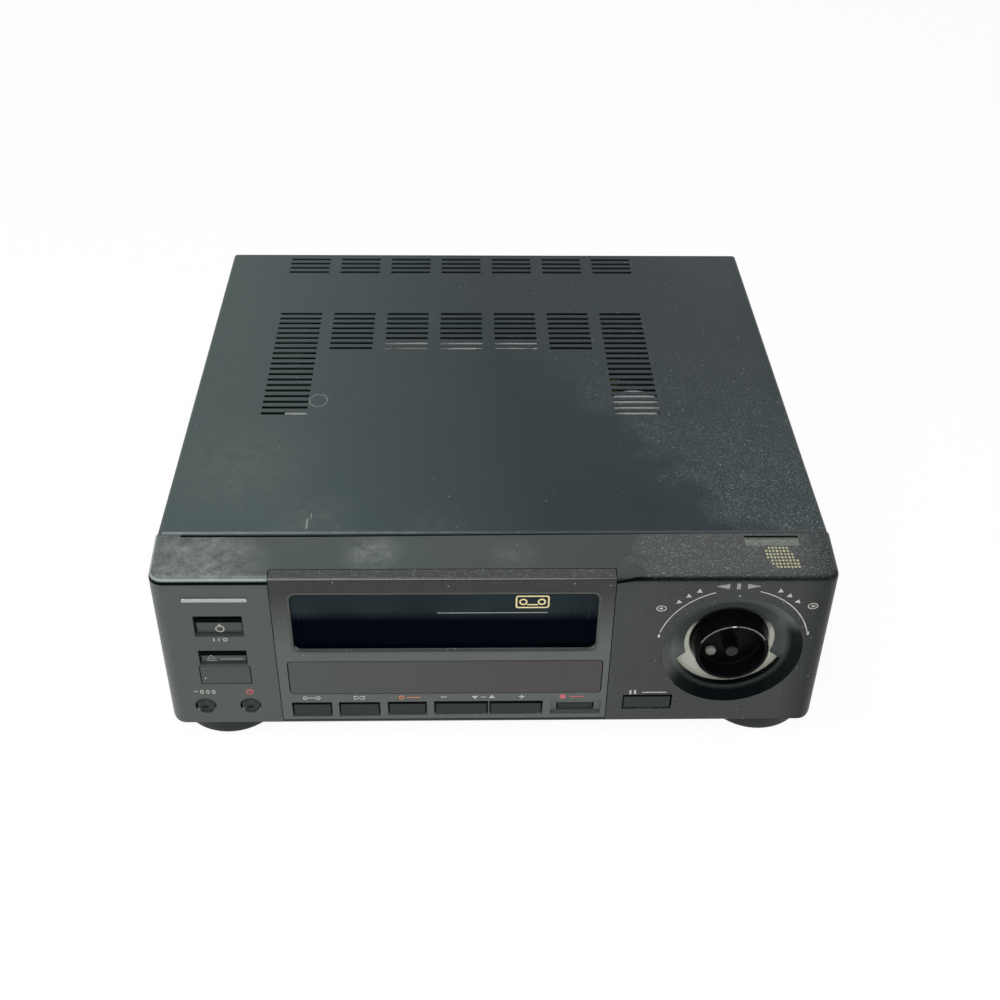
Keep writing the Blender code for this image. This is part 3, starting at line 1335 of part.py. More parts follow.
def build_flap():
    """Smoked flap behind the cassette window, hung on two pins at its top edge."""
    across, back, up = flap_pivot()
    half = FLAP_THICKNESS / 2
    bottom = WINDOW_BOTTOM - FLAP_MARGIN
    steps = SMALL // 2
    top = [
        (back + half * math.cos(math.pi * i / steps), up + half * math.sin(math.pi * i / steps))
        for i in range(steps + 1)
    ]
    points = [(back - half, bottom), (back + half, bottom)] + top
    span = (WINDOW_LEFT - FLAP_MARGIN, WINDOW_RIGHT + FLAP_MARGIN)
    flap = sheet("cassette_door", points, "yz", span, SMOKED_PLASTIC)
    set_origin(flap, (across, back, up))
    length = span[1] - span[0] + 2 * FLAP_PIN_LENGTH
    start = (span[0] - FLAP_PIN_LENGTH, back, up)
    join(flap, rod("flap_pins", FLAP_PIN_RADIUS - OVERLAP / 4, start, "x", length, sides=TINY))


def build_display():
    """Tinted display window, the display tube behind it and the remote sensor's window."""
    flange_face = FASCIA_THICKNESS - FASCIA_PROUD + GAP
    pane = sheet(
        "display_window",
        rectangle(
            DISPLAY_LEFT + GAP,
            DISPLAY_RIGHT - GAP,
            DISPLAY_BOTTOM + GAP,
            DISPLAY_TOP - GAP,
            DISPLAY_CORNER - GAP,
        ),
        "xz",
        (-FASCIA_PROUD, flange_face + OVERLAP),
        DISPLAY_PLASTIC,
    )
    flange = block(
        "display_flange",
        (DISPLAY_LEFT - DISPLAY_FLANGE / 2, DISPLAY_RIGHT + DISPLAY_FLANGE / 2),
        (flange_face, flange_face + DISPLAY_FLANGE_THICKNESS),
        (DISPLAY_BOTTOM - DISPLAY_FLANGE, DISPLAY_TOP + DISPLAY_FLANGE),
    )
    join(pane, flange)
    tube = block(
        "display_tube",
        (DISPLAY_LEFT + TUBE_INSET, DISPLAY_RIGHT - TUBE_INSET),
        (flange_face + DISPLAY_FLANGE_THICKNESS + TUBE_SETBACK, FRONT_BOARD_FACE - GAP),
        (DISPLAY_BOTTOM + TUBE_MARGIN, DISPLAY_TOP - TUBE_MARGIN),
        TUBE_GLASS,
    )
    soften(tube, OVERLAP)
    sensor_right = CONTROL_LEFT + CONTROL_WIDTH
    sensor = block(
        "sensor_window",
        (CONTROL_LEFT, sensor_right),
        (0, WALL + OVERLAP),
        (SENSOR_BOTTOM, SENSOR_TOP),
        DISPLAY_PLASTIC,
    )
    sensor_flange = block(
        "sensor_flange",
        (CONTROL_LEFT - DISPLAY_FLANGE / 2, sensor_right + DISPLAY_FLANGE / 2),
        (WALL + GAP, WALL + GAP + DISPLAY_FLANGE_THICKNESS),
        (SENSOR_BOTTOM, SENSOR_TOP),
    )
    join(sensor, sensor_flange)


def key_places(name):
    """A rectangular button's cap inside its opening: spans across, back and up."""
    x0, x1, z0, z1 = KEY_SIZES[name]
    in_fascia = name in FASCIA_KEYS
    face = KEY_RECESS.get(name, KEY_STANDARD_RECESS) - (FASCIA_PROUD if in_fascia else 0)
    head = KEY_HEADROOM.get(name, KEY_STANDARD_HEADROOM)
    rear = (FASCIA_THICKNESS - FASCIA_PROUD if in_fascia else WALL) + GAP
    return (x0 + GAP, x1 - GAP), (face, rear + KEY_FLANGE_THICKNESS), (z0 + GAP, z1 - head)


def build_keys():
    """Nine rectangular and two round buttons, each with a stem to its switch."""
    for name in KEY_SIZES:
        across, back, up = key_places(name)
        cap = block(name, across, back, up, KEY_PLASTIC)
        soften(cap, KEY_EDGE)
        lip = block(
            f"{name}_lip",
            (across[0] + OVERLAP, across[1] - OVERLAP),
            (back[1] - KEY_FLANGE_THICKNESS, back[1]),
            (up[0] - KEY_FLANGE, up[1] + KEY_FLANGE + GAP),
        )
        middle = ((across[0] + across[1]) / 2, back[1] - OVERLAP, switch_height(name))
        length = STEM_END - back[1] + OVERLAP
        stem = rod(f"{name}_stem", STEM_RADIUS, middle, "y", length, sides=TINY)
        join(cap, lip, stem)
    for name, (across, up) in ROUND_KEYS.items():
        rear = WALL + GAP
        profile = [
            (0, ROUND_RECESS + ROUND_DISH_DEPTH),
            (ROUND_DISH_RADIUS, ROUND_RECESS + ROUND_DISH_DEPTH - KEY_EDGE),
            (ROUND_DISH_RADIUS + KEY_EDGE, ROUND_RECESS),
            (ROUND_RADIUS - KEY_EDGE, ROUND_RECESS),
            (ROUND_RADIUS, ROUND_RECESS + KEY_EDGE),
            (ROUND_RADIUS, rear),
            (ROUND_RADIUS + KEY_FLANGE, rear),
            (ROUND_RADIUS + KEY_FLANGE, rear + KEY_FLANGE_THICKNESS),
            (STEM_RADIUS, rear + KEY_FLANGE_THICKNESS),
            (STEM_RADIUS, STEM_END),
            (0, STEM_END),
        ]
        lathe(name, profile, (across, 0, up), "y", KEY_PLASTIC, SMALL)


def switch_height(name):
    """Height of a button's switch: behind the cap's middle, and clear of the board's lower edge."""
    x0, x1, z0, z1 = KEY_SIZES[name]
    lowest = FRONT_BOARD_BOTTOM + SWITCH_SIZE / 2
    return max((z0 + z1) / 2, lowest)


def build_front_board():
    """Board behind the front panel, with switch blocks that the buttons' stems enter."""
    points = [
        (FRONT_BOARD_LEFT, FRONT_BOARD_BOTTOM),
        (FRONT_BOARD_RIGHT, FRONT_BOARD_BOTTOM),
        (FRONT_BOARD_RIGHT, FRONT_BOARD_LOW_TOP),
        (FRONT_BOARD_STEP, FRONT_BOARD_LOW_TOP),
        (FRONT_BOARD_STEP, FRONT_BOARD_MID_TOP),
        (FRONT_BOARD_TOWER, FRONT_BOARD_MID_TOP),
        (FRONT_BOARD_TOWER, FRONT_BOARD_TOP),
        (FRONT_BOARD_LEFT, FRONT_BOARD_TOP),
    ]
    span = (FRONT_BOARD_FACE, FRONT_BOARD_FACE + BOARD)
    board = sheet("front_board", points, "xz", span, BOARD_LAMINATE)
    spots = [((x0 + x1) / 2, switch_height(name)) for name, (x0, x1, z0, z1) in KEY_SIZES.items()]
    spots += list(ROUND_KEYS.values())
    half = SWITCH_SIZE / 2
    front = FRONT_BOARD_FACE - SWITCH_DEPTH
    boxes = [
        (
            (across - half, across + half),
            (front, FRONT_BOARD_FACE + OVERLAP),
            (up - half, up + half),
        )
        for across, up in spots
    ]
    eye_up = (SENSOR_BOTTOM + SENSOR_TOP) / 2
    boxes.append(
        (
            (CONTROL_MIDDLE - EYE_WIDTH / 2, CONTROL_MIDDLE + EYE_WIDTH / 2),
            (FRONT_BOARD_FACE - EYE_DEPTH, FRONT_BOARD_FACE + OVERLAP),
            (eye_up - half, eye_up + half),
        )
    )
    join(board, blocks("switch_blocks", boxes))
    bores = [(across, front - OVERRUN, up) for across, up in spots]
    length = SWITCH_ENTRY + KEY_TRAVEL + GAP + OVERRUN
    cut(board, rods("switch_bores", STEM_RADIUS + GAP, bores, "y", length, sides=TINY))


def build_dial():
    """Shuttle ring, jog hub and the encoder that both turn in."""
    at = (DIAL_ACROSS, 0, DIAL_UP)
    face = DISH_BACK + GAP
    back = face + SHUTTLE_THICKNESS
    ring = lathe(
        "shuttle_ring",
        [
            (SHUTTLE_INNER, face),
            (SHUTTLE_OUTER - SHUTTLE_CONE, face),
            (SHUTTLE_OUTER, face + SHUTTLE_CONE),
            (SHUTTLE_OUTER, back),
            (SHUTTLE_INNER, back),
        ],
        at,
        "y",
        GREY_PLASTIC,
        FINE,
    )
    half = SHUTTLE_LUG_WIDTH / 2
    lug = block(
        "shuttle_lug",
        (DIAL_ACROSS - half, DIAL_ACROSS + half),
        (back - OVERLAP, back + SHUTTLE_LUG_LENGTH),
        (DIAL_UP - SHUTTLE_LUG_OUT, DIAL_UP - SHUTTLE_LUG_IN),
    )
    join(ring, lug)
    floor = HUB_BACK - HUB_FLOOR
    hub = lathe(
        "jog_hub",
        [
            (0, 0),
            (JOG_SHAFT_RADIUS, 0),
            (JOG_SHAFT_RADIUS, floor),
            (HUB_ROOT_RADIUS - 2 * HUB_WALL, floor),
            (HUB_RIM_RADIUS - HUB_WALL, -HUB_PROUD),
            (HUB_RIM_RADIUS, -HUB_PROUD),
            (HUB_ROOT_RADIUS, floor),
            (HUB_ROOT_RADIUS, HUB_BACK),
            (JOG_SHAFT_RADIUS, HUB_BACK),
            (JOG_SHAFT_RADIUS, JOG_SHAFT_END),
            (0, JOG_SHAFT_END),
        ],
        at,
        "y",
        BLACK_PLASTIC,
        ROUND,
    )
    flat = block(
        "jog_flat",
        (DIAL_ACROSS - JOG_SHAFT_RADIUS - OVERRUN, DIAL_ACROSS + JOG_SHAFT_RADIUS + OVERRUN),
        (-OVERRUN, floor - OVERLAP),
        (DIAL_UP + JOG_SHAFT_RADIUS - JOG_FLAT, DIAL_UP + JOG_SHAFT_RADIUS + OVERRUN),
    )
    cut(hub, flat)
    peg = rod(
        "hub_peg",
        HUB_PEG_RADIUS,
        (DIAL_ACROSS + HUB_PEG_ACROSS, floor - HUB_PEG_HEIGHT, DIAL_UP - HUB_PEG_DROP),
        "y",
        HUB_PEG_HEIGHT + OVERLAP,
        sides=SMALL,
    )
    join(hub, peg)
    nose = SHUTTLE_INNER - GAP
    bore = JOG_SHAFT_RADIUS + GAP
    housing = lathe(
        "encoder_housing",
        [
            (bore, HUB_BACK + GAP),
            (nose, HUB_BACK + GAP),
            (nose, ENCODER_NOSE_BACK),
            (ENCODER_RADIUS, ENCODER_NOSE_BACK),
            (ENCODER_RADIUS, ENCODER_BACK),
            (bore, ENCODER_BACK),
        ],
        at,
        "y",
        BLACK_PLASTIC,
        ROUND,
    )
    pins = []
    for side in (-1, 1):
        angle = -math.pi / 2 + side * math.radians(STOP_PIN_TURN)
        pins.append(
            (
                DIAL_ACROSS + STOP_PIN_AT * math.cos(angle),
                back + GAP,
                DIAL_UP + STOP_PIN_AT * math.sin(angle),
            )
        )
    length = ENCODER_NOSE_BACK - back - GAP + OVERLAP
    join(housing, rods("stop_pins", STOP_PIN_RADIUS, pins, "y", length, sides=TINY))
    lowest = min(up for offset, up in DIAL_PILLARS) - PILLAR_RADIUS
    board = block(
        "shuttle_board",
        (DIAL_ACROSS - SHUTTLE_BOARD_HALF, DIAL_ACROSS + SHUTTLE_BOARD_HALF),
        (ENCODER_BACK + GAP, ENCODER_BACK + GAP + BOARD),
        (lowest, DIAL_UP + SHUTTLE_BOARD_HALF),
        BOARD_LAMINATE,
    )
    return board


# Cassette deck
def build_throat():
    """Open-topped guide from the flap to the basket, with a floor that climbs."""
    left = WINDOW_LEFT - FLAP_MARGIN - 2 * GAP
    right = WINDOW_RIGHT + FLAP_MARGIN + 2 * GAP
    drop = THROAT_WALL
    outline = [
        (THROAT_FRONT, THROAT_FRONT_FLOOR - drop),
        (THROAT_BACK, THROAT_BACK_FLOOR - drop),
        (THROAT_BACK, THROAT_TOP),
        (THROAT_FRONT, THROAT_TOP),
    ]
    guide = sheet(
        "slot_guide", outline, "yz", (left - THROAT_WALL, right + THROAT_WALL), BLACK_PLASTIC
    )
    room = [
        (THROAT_FRONT - OVERRUN, THROAT_FRONT_FLOOR),
        (THROAT_FRONT, THROAT_FRONT_FLOOR),
        (THROAT_BACK, THROAT_BACK_FLOOR),
        (THROAT_BACK + OVERRUN, THROAT_BACK_FLOOR),
        (THROAT_BACK + OVERRUN, THROAT_TOP + OVERRUN),
        (THROAT_FRONT - OVERRUN, THROAT_TOP + OVERRUN),
    ]
    cut(guide, sheet("throat_room", room, "yz", (left, right)))


def build_basket():
    """Basket that holds the cassette, with side pins and a toothed rack."""
    left, right = BASKET_LEFT, BASKET_RIGHT
    in_left, in_right = left + BASKET_WALL, right - BASKET_WALL
    low = BASKET_FLOOR - BASKET_WALL
    under = BASKET_TOP - BASKET_WALL
    points = [
        (left, low),
        (in_left + BASKET_LEDGE, low),
        (in_left + BASKET_LEDGE, BASKET_FLOOR),
        (in_left, BASKET_FLOOR),
        (in_left, under),
        (in_right, under),
        (in_right, BASKET_FLOOR),
        (in_right - BASKET_LEDGE, BASKET_FLOOR),
        (in_right - BASKET_LEDGE, low),
        (right, low),
        (right, BASKET_TOP),
        (left, BASKET_TOP),
    ]
    span = (BASKET_FRONT, BASKET_BACK)
    basket = sheet("cassette_basket", points, "xz", span, ZINC_STEEL)
    reach = LIFT_GAP + LIFT_PLATE
    starts = [(left - reach, back, BASKET_PIN_UP) for back in BASKET_PINS]
    starts += [(right - BASKET_WALL / 2, back, BASKET_PIN_UP) for back in BASKET_PINS]
    length = reach + BASKET_WALL / 2
    join(basket, rods("basket_pins", BASKET_PIN_RADIUS, starts, "x", length, sides=TINY))
    root = RACK_PITCH_LINE - DEDENDUM
    tip = RACK_PITCH_LINE + ADDENDUM
    pitch = math.pi * MODULE
    outline = [(RACK_FRONT, RACK_BOTTOM), (root, RACK_BOTTOM)]
    below = math.floor((LIFT_GEAR_UP - RACK_BOTTOM) / pitch - ROOT_SHARE)
    above = math.floor((RACK_TOP - LIFT_GEAR_UP) / pitch - ROOT_SHARE)
    for i in range(-below, above + 1):
        middle = LIFT_GEAR_UP + i * pitch
        outline += [
            (root, middle - ROOT_SHARE * pitch),
            (tip, middle - TIP_SHARE * pitch),
            (tip, middle + TIP_SHARE * pitch),
            (root, middle + ROOT_SHARE * pitch),
        ]
    outline += [(root, RACK_TOP), (RACK_FRONT, RACK_TOP)]
    rack = sheet("rack", outline, "yz", (right - BASKET_WALL / 2, right + RACK_WIDTH))
    join(basket, rack)


def build_lift():
    """Side plates that guide the basket, and the gear that drives its rack."""
    bottom = DECK_TOP + GAP
    slots = []
    for back in BASKET_PINS:
        half = BASKET_PIN_RADIUS + GAP
        slots.append((back, half))
    for name, inner, side, back_end in (
        ("lift_plate_left", LIFT_LEFT_IN, -1, LIFT_LEFT_BACK),
        ("lift_plate_right", LIFT_RIGHT_IN, 1, LIFT_RIGHT_BACK),
    ):
        outer = inner + side * LIFT_PLATE
        edge = inner + side * (LIFT_PLATE + LIFT_FLANGE)
        points = [
            (inner, bottom),
            (outer, bottom),
            (outer, LIFT_PLATE_TOP - LIFT_PLATE),
            (edge, LIFT_PLATE_TOP - LIFT_PLATE),
            (edge, LIFT_PLATE_TOP),
            (inner, LIFT_PLATE_TOP),
        ]
        span = (THROAT_BACK + GAP, back_end)
        plate = sheet(name, points, "xz", span, ZINC_STEEL)
        boxes = [
            (
                (inner - side * OVERRUN, outer + side * OVERRUN),
                (back - half, back + half),
                (BASKET_PIN_UP - BASKET_DROP - half, BASKET_PIN_UP + half),
            )
            for back, half in slots
        ]
        cut(plate, blocks(f"{name}_slots", boxes))
        if side > 0:
            start = (inner - OVERRUN, LIFT_GEAR_BACK, LIFT_GEAR_UP)
            cut(
                plate,
                rod(
                    "lift_bearing",
                    LIFT_AXLE_RADIUS + GAP,
                    start,
                    "x",
                    LIFT_PLATE + 2 * OVERRUN,
                ),
            )
    start = LIFT_RIGHT_IN - (LIFT_GAP - RACK_WIDTH) - LIFT_GEAR_WIDTH
    pitch = 2 * math.pi / LIFT_TEETH
    centre = (LIFT_GEAR_BACK, LIFT_GEAR_UP)
    teeth = gear_outline(LIFT_TEETH, math.pi + pitch / 2, centre)
    gear = sheet("lift_pinion", teeth, "yz", (start, start + LIFT_GEAR_WIDTH), HUB_NYLON)
    axle_end = LIFT_RIGHT_IN + LIFT_PLATE + LIFT_AXLE_REACH
    set_origin(gear, (start, *centre))
    axle = rod(
        "lift_axle", LIFT_AXLE_RADIUS, (start + OVERLAP, *centre), "x", axle_end - start - OVERLAP
    )
    wheel_start = axle_end - LIFT_WHEEL_WIDTH - OVERLAP
    wheel = rod(
        "lift_wheel", LIFT_WHEEL_RADIUS, (wheel_start, *centre), "x", LIFT_WHEEL_WIDTH, sides=ROUND
    )
    join(gear, axle, wheel)
    motor = rod(
        "lift_motor",
        LIFT_MOTOR_RADIUS,
        (LIFT_MOTOR_ACROSS, RACK_FRONT, LIFT_MOTOR_UP),
        "y",
        LIFT_MOTOR_LENGTH,
        ZINC_STEEL,
        SMALL,
    )
    bracket = block(
        "motor_bracket",
        (LIFT_RIGHT_IN + LIFT_PLATE + GAP, LIFT_MOTOR_ACROSS),
        (RACK_FRONT - LIFT_MOTOR_BRACKET, RACK_FRONT + OVERLAP),
        (LIFT_MOTOR_UP - LIFT_MOTOR_RADIUS, LIFT_MOTOR_UP + LIFT_MOTOR_RADIUS),
    )
    join(motor, bracket)


def build_deck_plate():
    """Deck plate on its pillars, with spindles for the reels, idler and pinch arm."""
    plate = block(
        "deck_plate",
        (DECK_MIDDLE - DECK_HALF_WIDTH, DECK_MIDDLE + DECK_HALF_WIDTH),
        (DECK_FRONT, DECK_BACK),
        (DECK_TOP - DECK_PLATE, DECK_TOP),
        ZINC_STEEL,
    )
    low = DECK_TOP - OVERLAP
    reels = [(DECK_MIDDLE + side * REEL_OFFSET, REEL_BACK, low) for side in (-1, 1)]
    idler = (DECK_MIDDLE, IDLER_PIVOT_BACK, low)
    pinch = (DECK_MIDDLE + PINCH_PIVOT_ACROSS, PINCH_PIVOT_BACK, low)
    join(
        plate,
        rods("reel_spindles", SPINDLE_RADIUS, reels, "z", SPINDLE_TOP + OVERLAP, sides=TINY),
        rod(
            "idler_spindle", IDLER_PIVOT_RADIUS, idler, "z", IDLER_PIVOT_TOP + OVERLAP, sides=TINY
        ),
        rod("pinch_post", PINCH_PIVOT_RADIUS, pinch, "z", PINCH_POST_TOP + OVERLAP, sides=TINY),
    )
    under = DECK_TOP - DECK_PLATE - OVERRUN
    length = DECK_PLATE + 2 * OVERRUN
    capstan = (DECK_MIDDLE + CAPSTAN_ACROSS, CAPSTAN_BACK, under)
    cut(
        plate,
        rod("drum_hole", DRUM_SHAFT_HOLE, (DECK_MIDDLE, DRUM_BACK, under), "z", length),
        rod("capstan_hole", CAPSTAN_RADIUS + GAP, capstan, "z", length),
        rod(
            "pinion_hole",
            PINION_SHAFT_RADIUS + GAP,
            (PINION_ACROSS, DRUM_BACK, under),
            "z",
            length,
        ),
    )


def build_reels():
    """Two reel tables with splined hubs, and the idler between them on its arm."""
    for name, side in (("supply_reel", -1), ("takeup_reel", 1)):
        at = (DECK_MIDDLE + side * REEL_OFFSET, REEL_BACK, DECK_TOP)
        bore = SPINDLE_RADIUS + GAP
        reel = lathe(
            name,
            [
                (bore, GAP),
                (REEL_SKIRT_RADIUS, GAP),
                (REEL_SKIRT_RADIUS, REEL_FLANGE_LOW),
                (REEL_FLANGE_RADIUS, REEL_FLANGE_LOW),
                (REEL_FLANGE_RADIUS, REEL_FLANGE_HIGH),
                (REEL_HUB_RADIUS, REEL_FLANGE_HIGH),
                (REEL_HUB_RADIUS, REEL_HUB_TOP - OVERLAP),
                (REEL_HUB_RADIUS - OVERLAP, REEL_HUB_TOP),
                (bore, REEL_HUB_TOP),
            ],
            at,
            "z",
            HUB_NYLON,
            FINE // 2,
        )
        half = REEL_SPLINE / 2
        for i in range(3):
            spline = block(
                f"{name}_spline_{i}",
                (at[0] + REEL_HUB_RADIUS - OVERLAP, at[0] + REEL_HUB_RADIUS + REEL_SPLINE),
                (REEL_BACK - half, REEL_BACK + half),
                (DECK_TOP + REEL_FLANGE_HIGH - OVERLAP, DECK_TOP + REEL_HUB_TOP - 2 * OVERLAP),
            )
            set_origin(spline, at)
            spline.rotation_euler.z = i * 2 * math.pi / 3
            join(reel, spline)
    reach = IDLER_PIVOT_BACK - REEL_BACK
    half = IDLER_WIDTH / 2
    low = DECK_TOP + GAP
    arm = sheet(
        "idler_arm",
        rectangle(
            DECK_MIDDLE - half,
            DECK_MIDDLE + half,
            REEL_BACK - half,
            REEL_BACK + reach + half,
            half - OVERLAP,
        ),
        "xy",
        (low, low + ARM_THICKNESS),
        ZINC_STEEL,
    )
    set_origin(arm, (DECK_MIDDLE, IDLER_PIVOT_BACK, low))
    bore = IDLER_PIVOT_RADIUS + GAP
    pivot = rod(
        "idler_bore",
        bore,
        (DECK_MIDDLE, IDLER_PIVOT_BACK, low - OVERRUN),
        "z",
        ARM_THICKNESS + 2 * OVERRUN,
        sides=TINY,
    )
    cut(arm, pivot)
    pin_height = REEL_FLANGE_HIGH - GAP + OVERLAP
    pin = rod(
        "idler_pin",
        SPINDLE_RADIUS,
        (DECK_MIDDLE, REEL_BACK, low + OVERLAP),
        "z",
        pin_height,
        sides=TINY,
    )
    join(arm, pin)
    wheel_low = low + ARM_THICKNESS + GAP
    lathe(
        "idler_wheel",
        [
            (SPINDLE_RADIUS + GAP, 0),
            (IDLER_RADIUS, 0),
            (IDLER_RADIUS, DECK_TOP + REEL_FLANGE_HIGH - wheel_low),
            (SPINDLE_RADIUS + GAP, DECK_TOP + REEL_FLANGE_HIGH - wheel_low),
        ],
        (DECK_MIDDLE, REEL_BACK, wheel_low),
        "z",
        BLACK_RUBBER,
        FINE // 2,
    )


def build_drum():
    """Video head drum: a fixed lower half on its foot and a spinning upper half, both tilted."""
    at = (DECK_MIDDLE, DRUM_BACK, DECK_TOP)
    tilt = math.radians(DRUM_TILT)
    foot = DRUM_FOOT_RADIUS
    lower = lathe(
        "lower_drum",
        [(0, GAP), (foot, GAP), (foot, DRUM_FOOT_HEIGHT), (0, DRUM_FOOT_HEIGHT)],
        at,
        "z",
        DRUM_ALUMINIUM,
        ROUND,
    )
    bottom, top = DRUM_LOWER_BOTTOM, DRUM_LOWER_TOP
    wall = lathe(
        "lower_drum_wall",
        [(0, bottom), (DRUM_RADIUS, bottom), (DRUM_RADIUS, top), (0, top)],
        at,
        "z",
        steps=ROUND,
    )
    bore = rod(
        "drum_bore",
        DRUM_SHAFT_RADIUS + GAP,
        (DECK_MIDDLE, DRUM_BACK, DECK_TOP - OVERRUN),
        "z",
        DRUM_LOWER_TOP + 2 * OVERRUN,
    )
    set_origin(bore, at)
    for tool in (wall, bore):
        tool.rotation_euler.x = tilt
    join(lower, wall)
    cut(lower, bore)
    upper = lathe(
        "upper_drum",
        [
            (0, DRUM_ROTOR_BOTTOM),
            (DRUM_ROTOR_RADIUS, DRUM_ROTOR_BOTTOM),
            (DRUM_ROTOR_RADIUS, DRUM_ROTOR_TOP),
            (DRUM_SHAFT_RADIUS, DRUM_ROTOR_TOP),
            (DRUM_SHAFT_RADIUS, DRUM_UPPER_BOTTOM),
            (DRUM_RADIUS, DRUM_UPPER_BOTTOM),
            (DRUM_RADIUS, DRUM_UPPER_TOP),
            (DRUM_CAP_RADIUS, DRUM_UPPER_TOP),
            (DRUM_CAP_RADIUS, DRUM_UPPER_TOP - DRUM_CAP_RECESS),
            (DRUM_NOSE_RADIUS, DRUM_UPPER_TOP - DRUM_CAP_RECESS),
            (DRUM_NOSE_RADIUS, DRUM_UPPER_TOP),
            (0, DRUM_UPPER_TOP),
        ],
        at,
        "z",
        DRUM_ALUMINIUM,
        ROUND,
    )
    upper.rotation_euler.x = tilt


def build_capstan():
    """Capstan shaft with its flywheel, and the pinch roller on its arm."""
    across = DECK_MIDDLE + CAPSTAN_ACROSS
    lathe(
        "capstan",
        [
            (0, CAPSTAN_BOTTOM),
            (FLYWHEEL_RADIUS, CAPSTAN_BOTTOM),
            (FLYWHEEL_RADIUS, FLYWHEEL_TOP),
            (CAPSTAN_RADIUS, FLYWHEEL_TOP),
            (CAPSTAN_RADIUS, CAPSTAN_TOP),
            (0, CAPSTAN_TOP),
        ],
        (across, CAPSTAN_BACK, 0),
        "z",
        DRUM_ALUMINIUM,
        FINE // 2,
    )
    pivot = (DECK_MIDDLE + PINCH_PIVOT_ACROSS, PINCH_PIVOT_BACK)
    low = DECK_TOP + PINCH_ARM_LOW
    hub = lathe(
        "pinch_arm",
        [
            (PINCH_PIVOT_RADIUS + GAP, GAP),
            (PINCH_HUB_RADIUS, GAP),
            (PINCH_HUB_RADIUS, PINCH_HUB_TOP),
            (PINCH_PIVOT_RADIUS + GAP, PINCH_HUB_TOP),
        ],
        (*pivot, DECK_TOP),
        "z",
        ZINC_STEEL,
        SMALL,
    )
    angle = math.radians(PINCH_REST_ANGLE)
    roller = (
        pivot[0] + PINCH_ARM_LENGTH * math.cos(angle),
        pivot[1] + PINCH_ARM_LENGTH * math.sin(angle),
    )
    half = PINCH_HUB_RADIUS / 2
    bar = block(
        "pinch_bar",
        (
            pivot[0] + PINCH_PIVOT_RADIUS + OVERLAP,
            pivot[0] + PINCH_ARM_LENGTH + half,
        ),
        (pivot[1] - half, pivot[1] + half),
        (low, low + ARM_THICKNESS),
    )
    set_origin(bar, (*pivot, low))
    bar.rotation_euler.z = angle
    pin_height = ARM_THICKNESS + GAP + PINCH_ROLLER_HEIGHT + OVERLAP
    pin = rod("pinch_pin", PINCH_PIN_RADIUS, (*roller, low + OVERLAP), "z", pin_height, sides=TINY)
    join(hub, bar, pin)
    lathe(
        "pinch_roller",
        [
            (PINCH_PIN_RADIUS + GAP, 0),
            (PINCH_RADIUS, 0),
            (PINCH_RADIUS, PINCH_ROLLER_HEIGHT),
            (PINCH_PIN_RADIUS + GAP, PINCH_ROLLER_HEIGHT),
        ],
        (*roller, low + ARM_THICKNESS + GAP),
        "z",
        BLACK_RUBBER,
        SMALL,
    )


def build_ring():
    """Toothed loading ring round the drum with two guide posts, and the pinion and motor that turn it."""
    low = DECK_TOP + RING_LOW
    centre = (DECK_MIDDLE, DRUM_BACK)
    turned_back = round(RING_TURN / 2 / 360 * RING_TEETH) * 2 * math.pi / RING_TEETH
    teeth = gear_outline(RING_TEETH, math.pi - turned_back, centre, RING_TOOTH_ARC)
    ring = sheet("loading_ring", teeth, "xy", (low, low + RING_THICKNESS), HUB_NYLON)
    set_origin(ring, (*centre, low))
    bore = rod(
        "ring_bore",
        RING_INNER,
        (*centre, low - OVERRUN),
        "z",
        RING_THICKNESS + 2 * OVERRUN,
        sides=FINE,
    )
    cut(ring, bore)
    posts = []
    for degrees in RING_POST_ANGLES:
        angle = math.radians(degrees)
        posts.append(
            (
                centre[0] + RING_POST_AT * math.cos(angle),
                centre[1] + RING_POST_AT * math.sin(angle),
                low + RING_THICKNESS - OVERLAP,
            )
        )
    height = DECK_TOP + RING_POST_TOP - posts[0][2]
    join(ring, rods("ring_posts", RING_POST_RADIUS, posts, "z", height, sides=SMALL))
    pinion_at = (PINION_ACROSS, DRUM_BACK)
    pitch = 2 * math.pi / PINION_TEETH
    teeth = gear_outline(PINION_TEETH, pitch / 2, pinion_at)
    pinion = sheet("ring_pinion", teeth, "xy", (low, low + RING_THICKNESS), HUB_NYLON)
    set_origin(pinion, (*pinion_at, low))
    shaft = rod(
        "pinion_shaft",
        PINION_SHAFT_RADIUS,
        (*pinion_at, PINION_SHAFT_BOTTOM),
        "z",
        low - PINION_SHAFT_BOTTOM + OVERLAP,
        sides=TINY,
    )
    join(pinion, shaft)
    top = DECK_TOP - DECK_PLATE - GAP
    bore_from = PINION_SHAFT_BOTTOM - GAP
    bore = PINION_SHAFT_RADIUS + GAP
    lathe(
        "ring_motor",
        [
            (0, RING_MOTOR_BOTTOM),
            (RING_MOTOR_RADIUS, RING_MOTOR_BOTTOM),
            (RING_MOTOR_RADIUS, top),
            (bore, top),
            (bore, bore_from),
            (0, bore_from),
        ],
        (*pinion_at, 0),
        "z",
        ZINC_STEEL,
        SMALL,
    )


